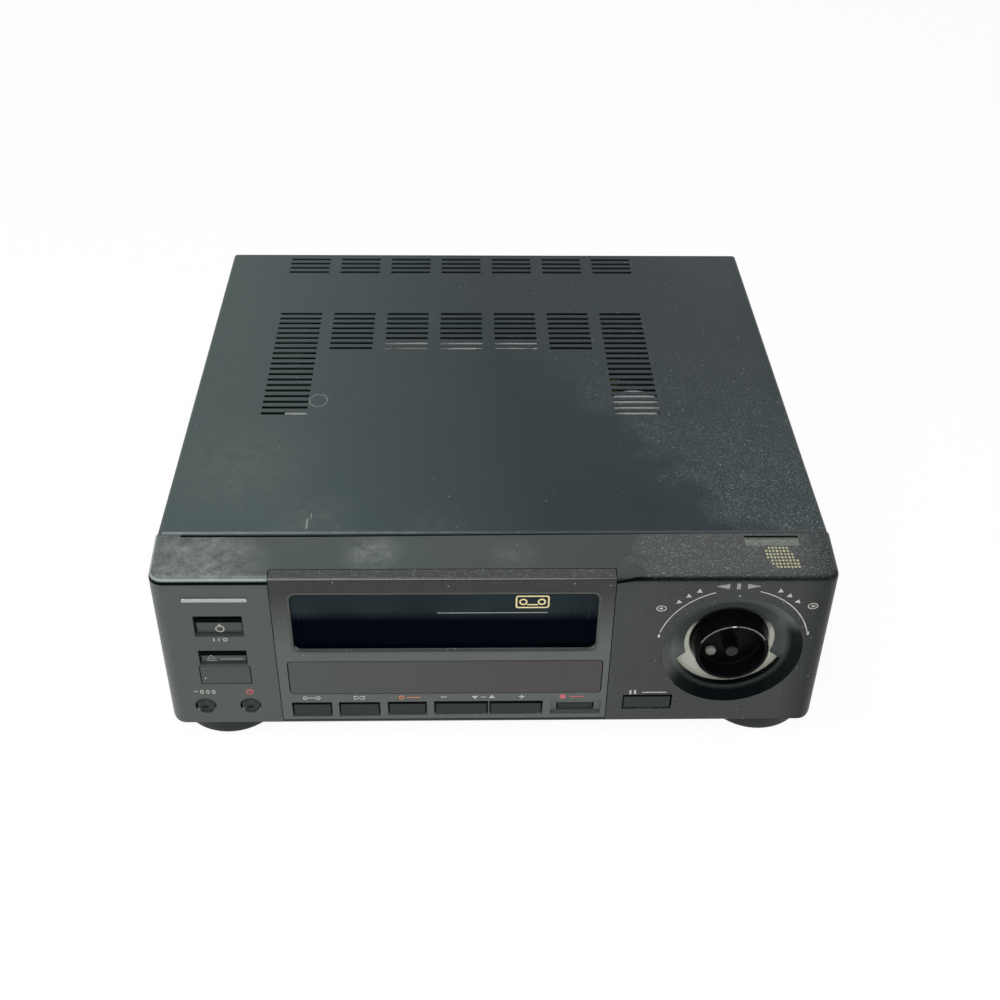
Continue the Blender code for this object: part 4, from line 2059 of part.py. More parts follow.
def build_bridge():
    """Bright steel bridge over the deck's rear, and the head amplifier's can under it."""
    bottom = DECK_TOP + GAP
    under = BRIDGE_TOP - SHEET
    points = [
        (BRIDGE_LEFT, bottom),
        (BRIDGE_LEFT, BRIDGE_TOP),
        (BRIDGE_RIGHT, BRIDGE_TOP),
        (BRIDGE_RIGHT, bottom),
        (BRIDGE_RIGHT - SHEET, bottom),
        (BRIDGE_RIGHT - SHEET, under),
        (BRIDGE_LEFT + SHEET, under),
        (BRIDGE_LEFT + SHEET, bottom),
    ]
    bridge = sheet("mechanism_bridge", points, "xz", (BRIDGE_FRONT, BRIDGE_BACK), TINPLATE)
    middle = (BRIDGE_LEFT + BRIDGE_RIGHT) / 2
    spans = (
        (BRIDGE_LEFT + BRIDGE_WINDOW_INSET, middle - BRIDGE_WINDOW_GAP / 2),
        (middle + BRIDGE_WINDOW_GAP / 2, BRIDGE_RIGHT - BRIDGE_WINDOW_INSET),
    )
    windows = [
        (
            span,
            (BRIDGE_FRONT + BRIDGE_WINDOW_INSET, BRIDGE_BACK - BRIDGE_WINDOW_INSET),
            (under - OVERRUN, BRIDGE_TOP + OVERRUN),
        )
        for span in spans
    ]
    sides = (BRIDGE_LEFT - OVERRUN, BRIDGE_RIGHT + OVERRUN)
    legs_up = (bottom - OVERRUN, under - BRIDGE_WINDOW_INSET)
    windows.append((sides, (BRIDGE_FRONT - OVERRUN, BRIDGE_FRONT + BRIDGE_LEG_INSET), legs_up))
    windows.append((sides, (BRIDGE_BACK - BRIDGE_LEG_INSET, BRIDGE_BACK + OVERRUN), legs_up))
    cut(bridge, blocks("bridge_windows", windows))
    amp = block(
        "head_amp_can",
        (BRIDGE_LEFT + AMP_INSET, BRIDGE_RIGHT - AMP_INSET),
        (BRIDGE_FRONT + AMP_MARGIN, BRIDGE_BACK - AMP_MARGIN),
        (under - GAP - AMP_HEIGHT, under - GAP),
        TINPLATE,
    )
    soften(amp, OVERLAP)


# Electronics and connectors
def build_main_board():
    """Main board on its standoffs, with chips and holes for the deck's pillars."""
    board = block(
        "main_board",
        (MAIN_BOARD_LEFT, MAIN_BOARD_RIGHT),
        (MAIN_BOARD_FRONT, MAIN_BOARD_BACK),
        (BOARD_UNDERSIDE, BOARD_TOP),
        BOARD_LAMINATE,
    )
    width = MAIN_BOARD_RIGHT - MAIN_BOARD_LEFT
    length = MAIN_BOARD_BACK - MAIN_BOARD_FRONT
    chips = []
    for across_share, back_share, half_share in CHIP_SHARES:
        across = MAIN_BOARD_LEFT + across_share * width
        back = MAIN_BOARD_FRONT + back_share * length
        half = half_share * length
        chips.append(
            (
                (across - half, across + half),
                (back - half, back + half),
                (BOARD_TOP - OVERLAP, BOARD_TOP + CHIP_HEIGHT),
            )
        )
    join(board, blocks("chips", chips))
    starts = [(across, back, BOARD_UNDERSIDE - OVERRUN) for across, back in DECK_PILLARS]
    radius = DECK_PILLAR_RADIUS + GAP
    cut(board, rods("pillar_holes", radius, starts, "z", BOARD + 2 * OVERRUN))


def build_power():
    """Power supply: board, capacitors, transformer and finned heat sink."""
    board = block(
        "power_board",
        (POWER_BOARD_LEFT, POWER_BOARD_RIGHT),
        (POWER_BOARD_FRONT, POWER_BOARD_BACK),
        (BOARD_UNDERSIDE, BOARD_TOP),
        BOARD_LAMINATE,
    )
    across = POWER_BOARD_LEFT + SMALL_CAPACITOR_MARGIN + SMALL_CAPACITOR_RADIUS
    cans = [
        (across, POWER_BOARD_FRONT + share * POWER_BOARD_LENGTH, BOARD_TOP - OVERLAP)
        for share in SMALL_CAPACITOR_SHARES
    ]
    height = SMALL_CAPACITOR_HEIGHT + OVERLAP
    join(board, rods("small_capacitors", SMALL_CAPACITOR_RADIUS, cans, "z", height))
    low = BOARD_TOP + GAP
    waist = FILTER_TOP - FILTER_NECK
    lathe(
        "filter_capacitor",
        [
            (0, low),
            (FILTER_RADIUS, low),
            (FILTER_RADIUS, waist - FILTER_GROOVE),
            (FILTER_RADIUS - FILTER_GROOVE, waist),
            (FILTER_RADIUS, waist + FILTER_GROOVE),
            (FILTER_RADIUS - FILTER_GROOVE, FILTER_TOP),
            (0, FILTER_TOP),
        ],
        (FILTER_ACROSS, FILTER_BACK, 0),
        "z",
        DRUM_ALUMINIUM,
        ROUND,
    )
    width, depth, tall = TRANSFORMER_SIZE
    across = POWER_BOARD_RIGHT - TRANSFORMER_MARGIN - width
    back = POWER_BOARD_FRONT + TRANSFORMER_SHARE * POWER_BOARD_LENGTH
    winding = depth * TRANSFORMER_CORE_SHARE / 2
    core = block(
        "power_transformer",
        (across, across + width),
        (back + winding, back + depth - winding),
        (low, low + tall),
        CORE_FERRITE,
    )
    bobbin = block(
        "transformer_bobbin",
        (across + winding, across + width - winding),
        (back, back + depth),
        (low, low + tall - winding),
    )
    join(core, bobbin)
    sink_front = POWER_BOARD_FRONT + SINK_SHARE * POWER_BOARD_LENGTH
    sink_length = SINK_LENGTH_SHARE * POWER_BOARD_LENGTH
    step = (sink_length - SINK_FIN) / (SINK_FINS - 1)
    points = [(SINK_LEFT, sink_front), (SINK_LEFT, sink_front + sink_length)]
    for i in reversed(range(SINK_FINS)):
        front = sink_front + i * step
        reach = SINK_LEFT + SINK_BASE + SINK_FIN_REACH
        points += [
            (SINK_LEFT + SINK_BASE, front + SINK_FIN),
            (reach, front + SINK_FIN),
            (reach, front),
            (SINK_LEFT + SINK_BASE, front),
        ]
    sheet("heat_sink", points, "xy", (low, low + SINK_HEIGHT), DRUM_ALUMINIUM)


def build_rear_connectors():
    """Tuner with its aerial sockets, the jack block, the output switch and the mains inlet."""
    low = BOARD_TOP + GAP
    rear = REAR_INSIDE - GAP
    tuner = block(
        "tuner_can", (TUNER_LEFT, TUNER_RIGHT), (TUNER_FRONT, rear), (low, TUNER_TOP), TINPLATE
    )
    lid = block(
        "tuner_lid_edge",
        (TUNER_LEFT + TUNER_LID_INSET, TUNER_RIGHT - TUNER_LID_INSET),
        (TUNER_FRONT + TUNER_LID_INSET, rear - TUNER_LID_INSET),
        (TUNER_TOP - OVERLAP, TUNER_TOP + OVERRUN),
    )
    starts = [(AERIAL_ACROSS, rear - OVERRUN, up) for up in AERIAL_HEIGHTS]
    length = REAR_FACE + CONNECTOR_PROUD - rear + OVERRUN
    aerials = rods("aerial_sockets", AERIAL_RADIUS, starts, "y", length)
    cut(tuner, lid)
    join(tuner, aerials)
    bore_from = REAR_FACE + CONNECTOR_PROUD - AERIAL_BORE_DEPTH
    starts = [(AERIAL_ACROSS, bore_from, up) for up in AERIAL_HEIGHTS]
    bores = rods("aerial_bores", AERIAL_BORE, starts, "y", AERIAL_BORE_DEPTH + OVERRUN, sides=TINY)
    cut(tuner, bores)
    jacks = block(
        "jack_block", (JACK_LEFT, JACK_RIGHT), (JACK_FRONT, rear), (low, JACK_TOP), BLACK_PLASTIC
    )
    spots = [(across, up) for across in JACK_COLUMNS for up in JACK_ROWS]
    starts = [(across, rear - OVERRUN, up) for across, up in spots]
    length = REAR_FACE + JACK_PROUD - rear + OVERRUN
    join(jacks, rods("jack_sleeves", JACK_RADIUS, starts, "y", length))
    starts = [(across, REAR_FACE - JACK_PROUD, up) for across, up in spots]
    bores = rods("jack_bores", JACK_BORE, starts, "y", 2 * JACK_PROUD + OVERRUN, sides=TINY)
    cut(jacks, bores)
    half = SWITCH_KNOB_WIDTH / 2
    tall = SWITCH_KNOB_HEIGHT / 2
    knob = block(
        "output_switch",
        (SWITCH_ACROSS - half, SWITCH_ACROSS + half),
        (rear - SWITCH_BODY_DEPTH, REAR_FACE + SWITCH_KNOB_PROUD),
        (SWITCH_UP - tall, SWITCH_UP + tall),
        BLACK_PLASTIC,
    )
    soften(knob, OVERLAP)
    inlet = block(
        "ac_inlet",
        (INLET_LEFT, INLET_RIGHT),
        (INLET_FRONT, REAR_FACE + GAP + OVERLAP),
        (INLET_BOTTOM, INLET_TOP),
        BLACK_PLASTIC,
    )
    face = REAR_FACE + GAP + INLET_FLANGE
    flange = block(
        "inlet_flange",
        (INLET_LEFT - INLET_FLANGE, INLET_RIGHT + INLET_FLANGE),
        (REAR_FACE + GAP, face),
        (INLET_BOTTOM - INLET_FLANGE, INLET_TOP + INLET_FLANGE),
    )
    middle = (INLET_LEFT + INLET_RIGHT) / 2
    up = (INLET_BOTTOM + INLET_TOP) / 2
    lobes = rectangle(
        middle - INLET_PITCH / 2 - INLET_LOBE,
        middle + INLET_PITCH / 2 + INLET_LOBE,
        up - INLET_LOBE,
        up + INLET_LOBE,
        INLET_LOBE - OVERLAP,
    )
    socket = sheet("inlet_socket", lobes, "xz", (face - INLET_DEPTH, face + OVERRUN))
    starts = [
        (middle + side * INLET_PITCH / 2, face - INLET_DEPTH - OVERLAP, up) for side in (-1, 1)
    ]
    pins = rods(
        "inlet_pins", INLET_PIN_RADIUS, starts, "y", INLET_DEPTH - INLET_FLANGE + OVERLAP, sides=TINY
    )
    join(inlet, flange)
    cut(inlet, socket)
    join(inlet, pins)


build_cover()
build_base()
build_feet()
build_rear()
build_panel()
build_fascia()
build_flap()
build_display()
build_keys()
build_front_board()
build_dial()
build_throat()
build_basket()
build_lift()
build_deck_plate()
build_reels()
build_drum()
build_capstan()
build_ring()
build_bridge()
build_main_board()
build_power()
build_rear_connectors()
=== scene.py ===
# %% [markdown]
# # A compact cassette recorder, dressed
# The engineering model of the recorder is loaded as a fixed frame. This lesson gives every piece of it
# the finish and the fine shape of the real object. The casing is moulded and folded, so most of the work
# is in small round edges, worn surfaces, printed marks and dust.

import json
import math

import bmesh
import bpy
from mathutils import Euler, Matrix, Vector


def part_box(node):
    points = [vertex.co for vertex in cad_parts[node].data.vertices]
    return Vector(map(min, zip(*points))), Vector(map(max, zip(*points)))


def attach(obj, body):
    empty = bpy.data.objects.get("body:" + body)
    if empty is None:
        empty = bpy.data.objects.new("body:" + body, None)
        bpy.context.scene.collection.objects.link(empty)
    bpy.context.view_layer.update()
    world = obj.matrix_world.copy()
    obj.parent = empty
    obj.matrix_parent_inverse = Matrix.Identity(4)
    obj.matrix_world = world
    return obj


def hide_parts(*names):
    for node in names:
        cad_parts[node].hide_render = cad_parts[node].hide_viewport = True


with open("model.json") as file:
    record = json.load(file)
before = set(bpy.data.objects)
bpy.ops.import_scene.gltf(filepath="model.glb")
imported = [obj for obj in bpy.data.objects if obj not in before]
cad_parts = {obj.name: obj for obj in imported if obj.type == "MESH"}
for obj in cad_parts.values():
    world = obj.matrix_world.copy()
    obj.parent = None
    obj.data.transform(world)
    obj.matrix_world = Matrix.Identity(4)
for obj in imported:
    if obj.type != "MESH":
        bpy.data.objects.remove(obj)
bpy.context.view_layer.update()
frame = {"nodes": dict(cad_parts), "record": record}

# %% [markdown]
# ## Places
# The front panel's face and underside are the two planes that everything on the front is measured from.
# Places are in millimetres: across from the middle, back from the panel's face, and up from its underside.

# %% Measure from the panel
MM = 0.001
TOP = 65.8
panel_low, panel_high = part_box("front_panel")


def spot(across, back, up):
    """The scene's point for a place in millimetres from the panel's face and underside."""
    return Vector((across * MM, panel_low.y + back * MM, panel_low.z + up * MM))


def height(up):
    """The scene's height for a place in millimetres above the panel's underside."""
    return spot(0, 0, up).z


carrier = {node: body for body, nodes in frame["record"]["behaviour"]["bodies"].items() for node in nodes}
print("panel face at y", round(panel_low.y, 4), "and underside at z", round(panel_low.z, 4))

# %% [markdown]
# ## Camera
# The machine is looked down on from a little above a person's eye line at a table. The lens is longer
# than a normal one, so the sides stay nearly parallel, and the camera is tilted one degree as a hand holds it.

# %% Set the camera
camera = bpy.data.objects.new("camera", bpy.data.cameras.new("camera"))
bpy.context.scene.collection.objects.link(camera)
bpy.context.scene.camera = camera
camera.data.lens = 48.78
camera.data.sensor_width = 36
camera.data.clip_start = 10 * MM
camera.location = spot(-10.69, -325.39, 351.06)
camera.rotation_euler = [math.radians(turn) for turn in (52.0743, -0.8744, -1.3230)]
print("camera at", tuple(round(part, 3) for part in camera.location))

# %% [markdown]
# ## Floor and light
# The photograph is cut out on white, so the floor is white paper that keeps only a soft contact shadow.
# Three soft lamps and an even sky give the long soft highlights that a satin casing shows. To the camera
# and to glossy pieces the room is white, and the light on the object stays plain. A small fill lamp beside
# the camera reaches down the vent slots, where it picks out the pale parts inside.


# %% Helpers that add nodes
def linear(code):
    """Turns an sRGB hex colour into the linear values that shaders read."""
    parts = [int(code[i : i + 2], 16) / 255 for i in (1, 3, 5)]
    return (*(p / 12.92 if p <= 0.04045 else ((p + 0.055) / 1.055) ** 2.4 for p in parts), 1.0)


def scale_of(size_mm):
    """The scale of a pattern whose cells are this wide in Object coordinates."""
    return 1 / (size_mm * MM)


class Tree:
    """An emptied node tree, with a short way to add each kind of node that the looks use."""

    def __init__(self, owner):
        owner.use_nodes = True
        self.owner = owner
        self.nodes = owner.node_tree.nodes
        self.links = owner.node_tree.links
        self.nodes.clear()

    def add(self, kind, sockets=None, **settings):
        """Adds one node. Settings are its own fields, and sockets take a value or another node's output."""
        made = self.nodes.new(kind)
        for field, value in settings.items():
            setattr(made, field, value)
        for socket, value in (sockets or {}).items():
            if isinstance(value, bpy.types.NodeSocket):
                self.links.new(value, made.inputs[socket])
            else:
                made.inputs[socket].default_value = value
        return made

    def math(self, operation, first, second):
        """One sum with two values."""
        return self.add("ShaderNodeMath", {0: first, 1: second}, operation=operation).outputs[0]

    def times(self, first, *others):
        """The product of several values."""
        for other in others:
            first = self.math("MULTIPLY", first, other)
        return first

    def most(self, first, second):
        """The larger of two values, or the second where there is no first."""
        return self.math("MAXIMUM", first, second) if first else second

    def vector(self, operation, first, second=(0, 0, 0)):
        """One sum with two vectors, which gives a vector or a length."""
        made = self.add("ShaderNodeVectorMath", {0: first, 1: second}, operation=operation)
        return made.outputs["Vector" if operation in ("SUBTRACT", "MULTIPLY") else "Value"]

    def ramp(self, value, low, high, start=0.0, end=1.0, **settings):
        """Runs from `start` to `end` while a value goes from low to high."""
        span = {"Value": value, "From Min": low, "From Max": high, "To Min": start, "To Max": end}
        return self.add("ShaderNodeMapRange", span, **settings).outputs["Result"]

    def mix(self, factor, under, over):
        """Mixes two colours, each an sRGB code or another node's output."""
        under, over = (linear(tone) if isinstance(tone, str) else tone for tone in (under, over))
        mixed = {"Factor": factor, "A": under, "B": over}
        return self.add("ShaderNodeMix", mixed, data_type="RGBA").outputs["Result"]

    def surface(self, shader):
        """Ends a material's tree in a shader and gives the material back."""
        self.add("ShaderNodeOutputMaterial", {"Surface": shader.outputs[0]})
        return self.owner


# %% Paper floor
tree = Tree(bpy.data.materials.new("white_paper"))
seen = tree.add("ShaderNodeLightPath").outputs
grain = tree.add("ShaderNodeTexNoise", {"Scale": 900.0, "Detail": 2.0}).outputs["Fac"]
matt = tree.add("ShaderNodeBsdfDiffuse", {"Color": tree.mix(grain, "#F7F7F6", "#FDFDFD")})
glow = tree.add("ShaderNodeEmission", {"Color": linear("#FFFFFF"), "Strength": 1.0})
looked_at = tree.most(tree.most(seen["Is Camera Ray"], seen["Is Glossy Ray"]), seen["Is Transmission Ray"])
sheet = {0: tree.times(looked_at, 0.92), 1: matt.outputs[0], 2: glow.outputs[0]}
paper = tree.surface(tree.add("ShaderNodeMixShader", sheet))
bpy.ops.object.select_all(action="DESELECT")
bpy.ops.mesh.primitive_plane_add(size=6.0, location=(0, 0, 0))
floor = bpy.context.object
floor.name = "paper_floor"
floor.data.materials.append(paper)

# %% World and lamps
world = bpy.data.worlds.new("soft_room")
bpy.context.scene.world = world
tree = Tree(world)
seen = tree.add("ShaderNodeLightPath").outputs
plain, white = (
    tree.add("ShaderNodeBackground", {"Color": linear("#FFFFFF"), "Strength": strength}) for strength in (0.5, 1.0)
)
looked_at = tree.most(tree.most(seen["Is Camera Ray"], seen["Is Transmission Ray"]), seen["Is Glossy Ray"])
mixed = tree.add("ShaderNodeMixShader", {0: looked_at, 1: plain.outputs[0], 2: white.outputs[0]})
tree.add("ShaderNodeOutputWorld", {"Surface": mixed.outputs[0]})


def lamp(name, power, size, location, target):
    """A soft lamp of a width and height that faces a target."""
    made = bpy.data.objects.new(name, bpy.data.lights.new(name, "AREA"))
    made.data.energy = power
    made.data.shape = "RECTANGLE"
    made.data.size, made.data.size_y = size
    made.location = location
    made.rotation_euler = (Vector(target) - Vector(location)).to_track_quat("-Z", "Y").to_euler()
    bpy.context.scene.collection.objects.link(made)
    return made


lamp("ceiling_softbox", 4.6, (1.2, 1.2), (-0.55, 0.25, 1.3), (0, 0, 0))
lamp("front_softbox", 3.4, (0.7, 0.7), (-0.5, -1.0, 1.25), (0, 0, 0.03))
lamp("strip_softbox", 2.2, (0.46, 0.05), (-0.24, -0.28, 1.15), (-0.05, -0.1, 0.06))
fill = lamp("fill_softbox", 2.0, (0.10, 0.10), camera.location + Vector((0.0, -0.05, 0.05)), (0.0, 0.0, 0.05))
fill.visible_glossy = False
bpy.context.scene.view_settings.view_transform = "Standard"

# %% [markdown]
# A dark cloth hangs far in front of the table, as a photographer hangs one to shape a glossy product. The
# undersides of rounded edges and the slope of the dial reflect it, which draws their fine dark lines, and a
# painted shade in their finishes deepens them.

# %% Dark cloth in front
tree = Tree(bpy.data.materials.new("black_felt"))
nap = tree.add("ShaderNodeTexNoise", {"Scale": 400.0, "Detail": 2.0}).outputs["Fac"]
felt = tree.surface(tree.add("ShaderNodeBsdfDiffuse", {"Color": tree.mix(nap, "#060606", "#0C0C0C")}))
bpy.ops.object.select_all(action="DESELECT")
bpy.ops.mesh.primitive_plane_add(size=1.0, location=(0.3, -1.5, 0.66), rotation=(math.radians(90), 0, 0))
cloth = bpy.context.object
cloth.name = "front_cloth"
cloth.scale = (2.6, 1.2, 1.0)
cloth.visible_camera = False
cloth.data.materials.append(felt)

# %% [markdown]
# ## Finishes
# Each material starts from what the real one is. The casing was moulded or painted with a fine satin
# grain. On a machine of this age it also carries dust, wiped patches and small scratches, so the grain,
# the dust and the smudges share one recipe. That recipe also paints light and shade: a darker top or side,
# dark bands of shadow, and a highlight along round edges with shade below it. All patterns lie in Object
# coordinates.


# %% A recipe for satin casings with dust, and with painted light and shade
class Paint(Tree):
    """A material's tree that starts from Object coordinates and ends in a principled surface."""

    def __init__(self, name):
        super().__init__(bpy.data.materials.new(name))
        self.place = self.add("ShaderNodeTexCoord").outputs["Object"]
        self.x, self.y, self.z = self.add("ShaderNodeSeparateXYZ", {0: self.place}).outputs

    def noise(self, scale, detail=2.0, **more):
        """A noise over the piece."""
        sockets = {"Vector": self.place, "Scale": scale, "Detail": detail} | more
        return self.add("ShaderNodeTexNoise", sockets).outputs["Fac"]

    def relief(self, pattern, strength):
        """The normals of a shallow relief that follows a pattern."""
        sockets = {"Strength": strength, "Distance": 0.1 * MM, "Height": pattern}
        return self.add("ShaderNodeBump", sockets).outputs["Normal"]

    def close(self, colour, roughness, gloss=0.5, more=None):
        """Ends the tree and gives the material back."""
        sockets = {"Base Color": colour, "Roughness": roughness, "Specular IOR Level": gloss} | (more or {})
        return self.surface(self.add("ShaderNodeBsdfPrincipled", sockets))


DUST_TONE, WIPED_TONE, SHADE_TONE = "#A3AAA2", "#161E21", "#060808"


def satin(
    name, tones, roughness, gloss=0.65, grain_mm=0.35, bump=0.05,
    dust=None, painted_shade_across=None, painted_light_by_height=None, smudges_and_sheen=(), painted_shadow_bands=(), crown=None, dull=None,
):
    """Moulded or painted satin in two close tones, with a fine grain, settled dust, smears, and painted light and
    shade.

    `dust` is (amount, where it starts across, how far that leans left per millimetre back, where it thins out,
    how soft its edge is). `painted_light_by_height` runs to a third tone from one height to another, a painted
    shade, and `painted_shade_across` to a fourth from one place across to another, a painted shade that darkens
    the side away from the lamps, with its last value the share of the distance back that is added.
    A smudge is (across, back, radius, strength), and its strength is below zero where a hand wiped it dark. On
    the panel the large smudge at the left front also paints a broad highlight on the top.
    `painted_shadow_bands` are painted shadow between two heights. `crown` is (tone of the painted highlight on
    the upper round edge, where it starts and ends across, depth of the painted shade below). The gloss fades out
    between the two places across in `dull`.
    """
    paint = Paint(name)
    upwards = paint.add("ShaderNodeNewGeometry").outputs["Normal"]
    upwards = paint.add("ShaderNodeSeparateXYZ", {0: upwards}).outputs["Z"]
    clouds = paint.noise(14.0, 3.0, Distortion=0.6)
    colour = paint.mix(clouds, *tones)

    def slanted(leans):
        return paint.math("ADD", paint.x, paint.times(paint.y, leans))

    # Painted shade: above a height the face runs to a darker tone, where it takes less light.
    if painted_light_by_height:
        colour = paint.mix(paint.ramp(paint.z, height(painted_light_by_height[0]), height(painted_light_by_height[1])), colour, painted_light_by_height[2])
    # Painted shade: the side away from the lamps runs to a darker tone.
    if painted_shade_across:
        first, last, deep_tone, leans = painted_shade_across
        colour = paint.mix(paint.ramp(slanted(leans), first * MM, last * MM), colour, deep_tone)
    shadows = []
    soft = 0.15 * MM
    # Painted shadow: a dark band between two heights.
    for low, high in painted_shadow_bands:
        rise = paint.ramp(paint.z, height(low) - soft, height(low) + soft)
        shadows.append(paint.times(rise, paint.ramp(paint.z, height(high) - soft, height(high) + soft, 1.0, 0.0)))
    # Painted highlight on the upper round edge, picked out by the way the surface faces, and a painted shade below it.
    if crown:
        crown_highlight_tone, first, last, depth = crown
        slid = paint.math("SUBTRACT", upwards, paint.ramp(paint.x, 39 * MM, 45 * MM, 0.0, 0.36))
        crown_highlight = paint.times(paint.ramp(slid, 0.46, 0.58), paint.ramp(slid, 0.70, 0.80, 1.0, 0.0))
        crown_highlight = paint.times(crown_highlight, paint.ramp(paint.x, first * MM, last * MM, 0.8, 0.0))
        colour = paint.mix(crown_highlight, colour, crown_highlight_tone)
        shade = paint.times(paint.ramp(slid, 0.03, 0.10), paint.ramp(slid, 0.38, 0.48, depth, 0.0))
        shadows.append(paint.times(shade, paint.ramp(paint.x, 55 * MM, 105 * MM, 1.0, 0.5)))
    shadow = None
    for part in shadows:
        shadow = paint.most(shadow, part)
        colour = paint.mix(part, colour, SHADE_TONE)
    warp = paint.noise(60.0, 5.0, Roughness=0.6)
    finger = paint.noise(230.0, 8.0, Roughness=0.75)
    fine = paint.noise(scale_of(0.55))
    dust_and_sheen = None
    # Smudges are smears, and on the panel the large one at the left front also paints a broad highlight.
    for across, back, radius, strength in smudges_and_sheen:
        apart = paint.vector("DISTANCE", paint.place, spot(across, back, TOP))
        near = paint.ramp(apart, 0.3 * radius * MM, radius * MM, abs(strength), 0.0)
        near = paint.times(near, paint.ramp(upwards, 0.6, 0.9))
        if strength < 0:
            colour = paint.mix(paint.times(near, paint.ramp(warp, 0.4, 0.5)), colour, WIPED_TONE)
            continue
        smear_and_sheen = paint.times(near, paint.ramp(finger, 0.36, 0.66), paint.ramp(fine, 0.35, 0.60, 0.5, 1.0))
        dust_and_sheen = paint.most(dust_and_sheen, smear_and_sheen)
    if dust:
        amount, starts, leans, thins, softness = dust
        ragged = paint.math("ADD", slanted(leans), paint.ramp(warp, 0.3, 0.7, -9 * MM, 9 * MM))
        edge = (starts + leans * panel_low.y / MM) * MM
        grown = paint.ramp(ragged, edge, edge + softness * MM, 0.02, 1.0)
        fading = paint.ramp(paint.y, panel_low.y + 25 * MM, panel_low.y + thins * MM, 1.0, 0.12)
        settled = paint.ramp(upwards, 0.60, 0.95, 0.16, 1.0)
        density = paint.times(grown, fading, settled, paint.ramp(warp, 0.3, 0.6, 0.65, 1.0))
        dust_and_sheen = paint.most(dust_and_sheen, paint.times(paint.ramp(fine, 0.52, 0.66, 0.0, 0.50 * amount), density))
        dust_and_sheen = paint.most(dust_and_sheen, paint.times(density, 0.05 * amount))
        specks = paint.add("ShaderNodeTexVoronoi", {"Vector": paint.place, "Scale": scale_of(0.9)}).outputs
        chance = paint.add("ShaderNodeSeparateColor", {0: specks["Color"]}).outputs
        wanted = paint.math("ADD", paint.times(density, 0.20 * amount), 0.0015)
        rare = paint.math("LESS_THAN", chance["Red"], wanted)
        round_speck = paint.ramp(specks["Distance"], 0.14, 0.34, 1.0, 0.0)
        dust_and_sheen = paint.most(dust_and_sheen, paint.times(rare, round_speck, paint.ramp(chance["Green"], 0, 1, 0.2, 0.75)))
    if dust_and_sheen:
        colour = paint.mix(dust_and_sheen, colour, DUST_TONE)
    if shadow:
        gloss = paint.ramp(shadow, 0.0, 1.0, gloss, 0.01)
    if dull:
        gloss = paint.times(paint.ramp(paint.x, dull[0] * MM, dull[1] * MM, 1.0, 0.25), gloss)
    polish = paint.ramp(clouds, 0.3, 0.7, roughness - 0.05, roughness + 0.07)
    return paint.close(colour, polish, gloss, {"Normal": paint.relief(paint.noise(scale_of(grain_mm)), bump)})


# The cover's finish is painted darker towards its right, a painted shade.
COATED_STEEL = satin(
    "satin_coated_steel", ("#344140", "#3B4746"), 0.40, gloss=0.16,
    dust=(0.55, 92, 0.6, 150, 16),
    painted_shade_across=(-93, 7, "#1B262A", 0.15),
    smudges_and_sheen=((-62, 30, 20, 0.07), (-88, 60, 34, 0.07), (-20, 26, 14, 0.05), (38, 48, 16, -0.5), (52, 34, 14, -0.5)),
)
# The panel's finish paints light and shade: a darker top and upper edge, a darker right side, and along the crown at
# the left a painted highlight with a painted shade below it.
MOULDED_PANEL = satin(
    "moulded_panel_polystyrene", ("#343B38", "#3B423F"), 0.30, gloss=0.50, grain_mm=0.5, bump=0.10,
    dust=(0.5, 42, 0.0, 400, 5),
    painted_shade_across=(-30, 60, "#141A19", 0.0),
    painted_light_by_height=(62, 65, "#25312F"),
    crown=("#8A9391", -80, 40, 1.0),
    dull=(98, 110),
    smudges_and_sheen=((-97, 8, 26, 0.42), (-40, 13, 12, 0.26), (6, 12, 10, 0.10), (36, 12, 9, -0.9)),
)
# The fascia's finish paints its upper part darker, a painted shade, and a painted highlight along its crown.
MOULDED_FASCIA = satin(
    "moulded_fascia_polystyrene", ("#3F4542", "#464B48"), 0.28, gloss=0.48, grain_mm=0.5, bump=0.06,
    dust=(0.3, -80, 0.0, 400, 5),
    painted_light_by_height=(36, 60, "#121513"),
    crown=("#77706B", 20, 60, 0.0),
)
# The keys' finishes paint a dark band of shadow along the top edge of each row of keys.
KEY_ABS = satin("moulded_key_abs", ("#191F1D", "#1D2422"), 0.32, gloss=0.25, grain_mm=0.5, painted_shadow_bands=((8.3, 10.6),))
PAUSE_ABS = satin(
    "moulded_pause_key_abs", ("#1A201E", "#1F2523"), 0.32, gloss=0.26, grain_mm=0.5, painted_shadow_bands=((11.0, 13.2),)
)
UPPER_KEY_ABS = satin(
    "moulded_upper_key_abs", ("#2C3230", "#333937"), 0.32, gloss=0.45, grain_mm=0.5,
    painted_shadow_bands=((45.7, 50.2), (31.1, 34.9)),
)
ROUND_KEY_ABS = satin("moulded_round_key_abs", ("#171C1B", "#1C2120"), 0.28, gloss=0.4, grain_mm=0.5)
SENSOR_ACRYLIC = satin("dark_sensor_acrylic", ("#2B312F", "#303634"), 0.24, gloss=0.5, grain_mm=0.5, bump=0.03)
print("satin finishes:", [m.name for m in (COATED_STEEL, MOULDED_PANEL, MOULDED_FASCIA, KEY_ABS, ROUND_KEY_ABS)])

# %% [markdown]
# Plain finishes need one tone, a faint unevenness and the right gloss. Plastics keep the usual index of
# refraction of 1.5, metals are fully metallic, and what moves or was pressed shows fine brushed lines.


# %% A recipe for plain plastics and metals
PAINTED_SHADE_TONE = "#0B0D0D"


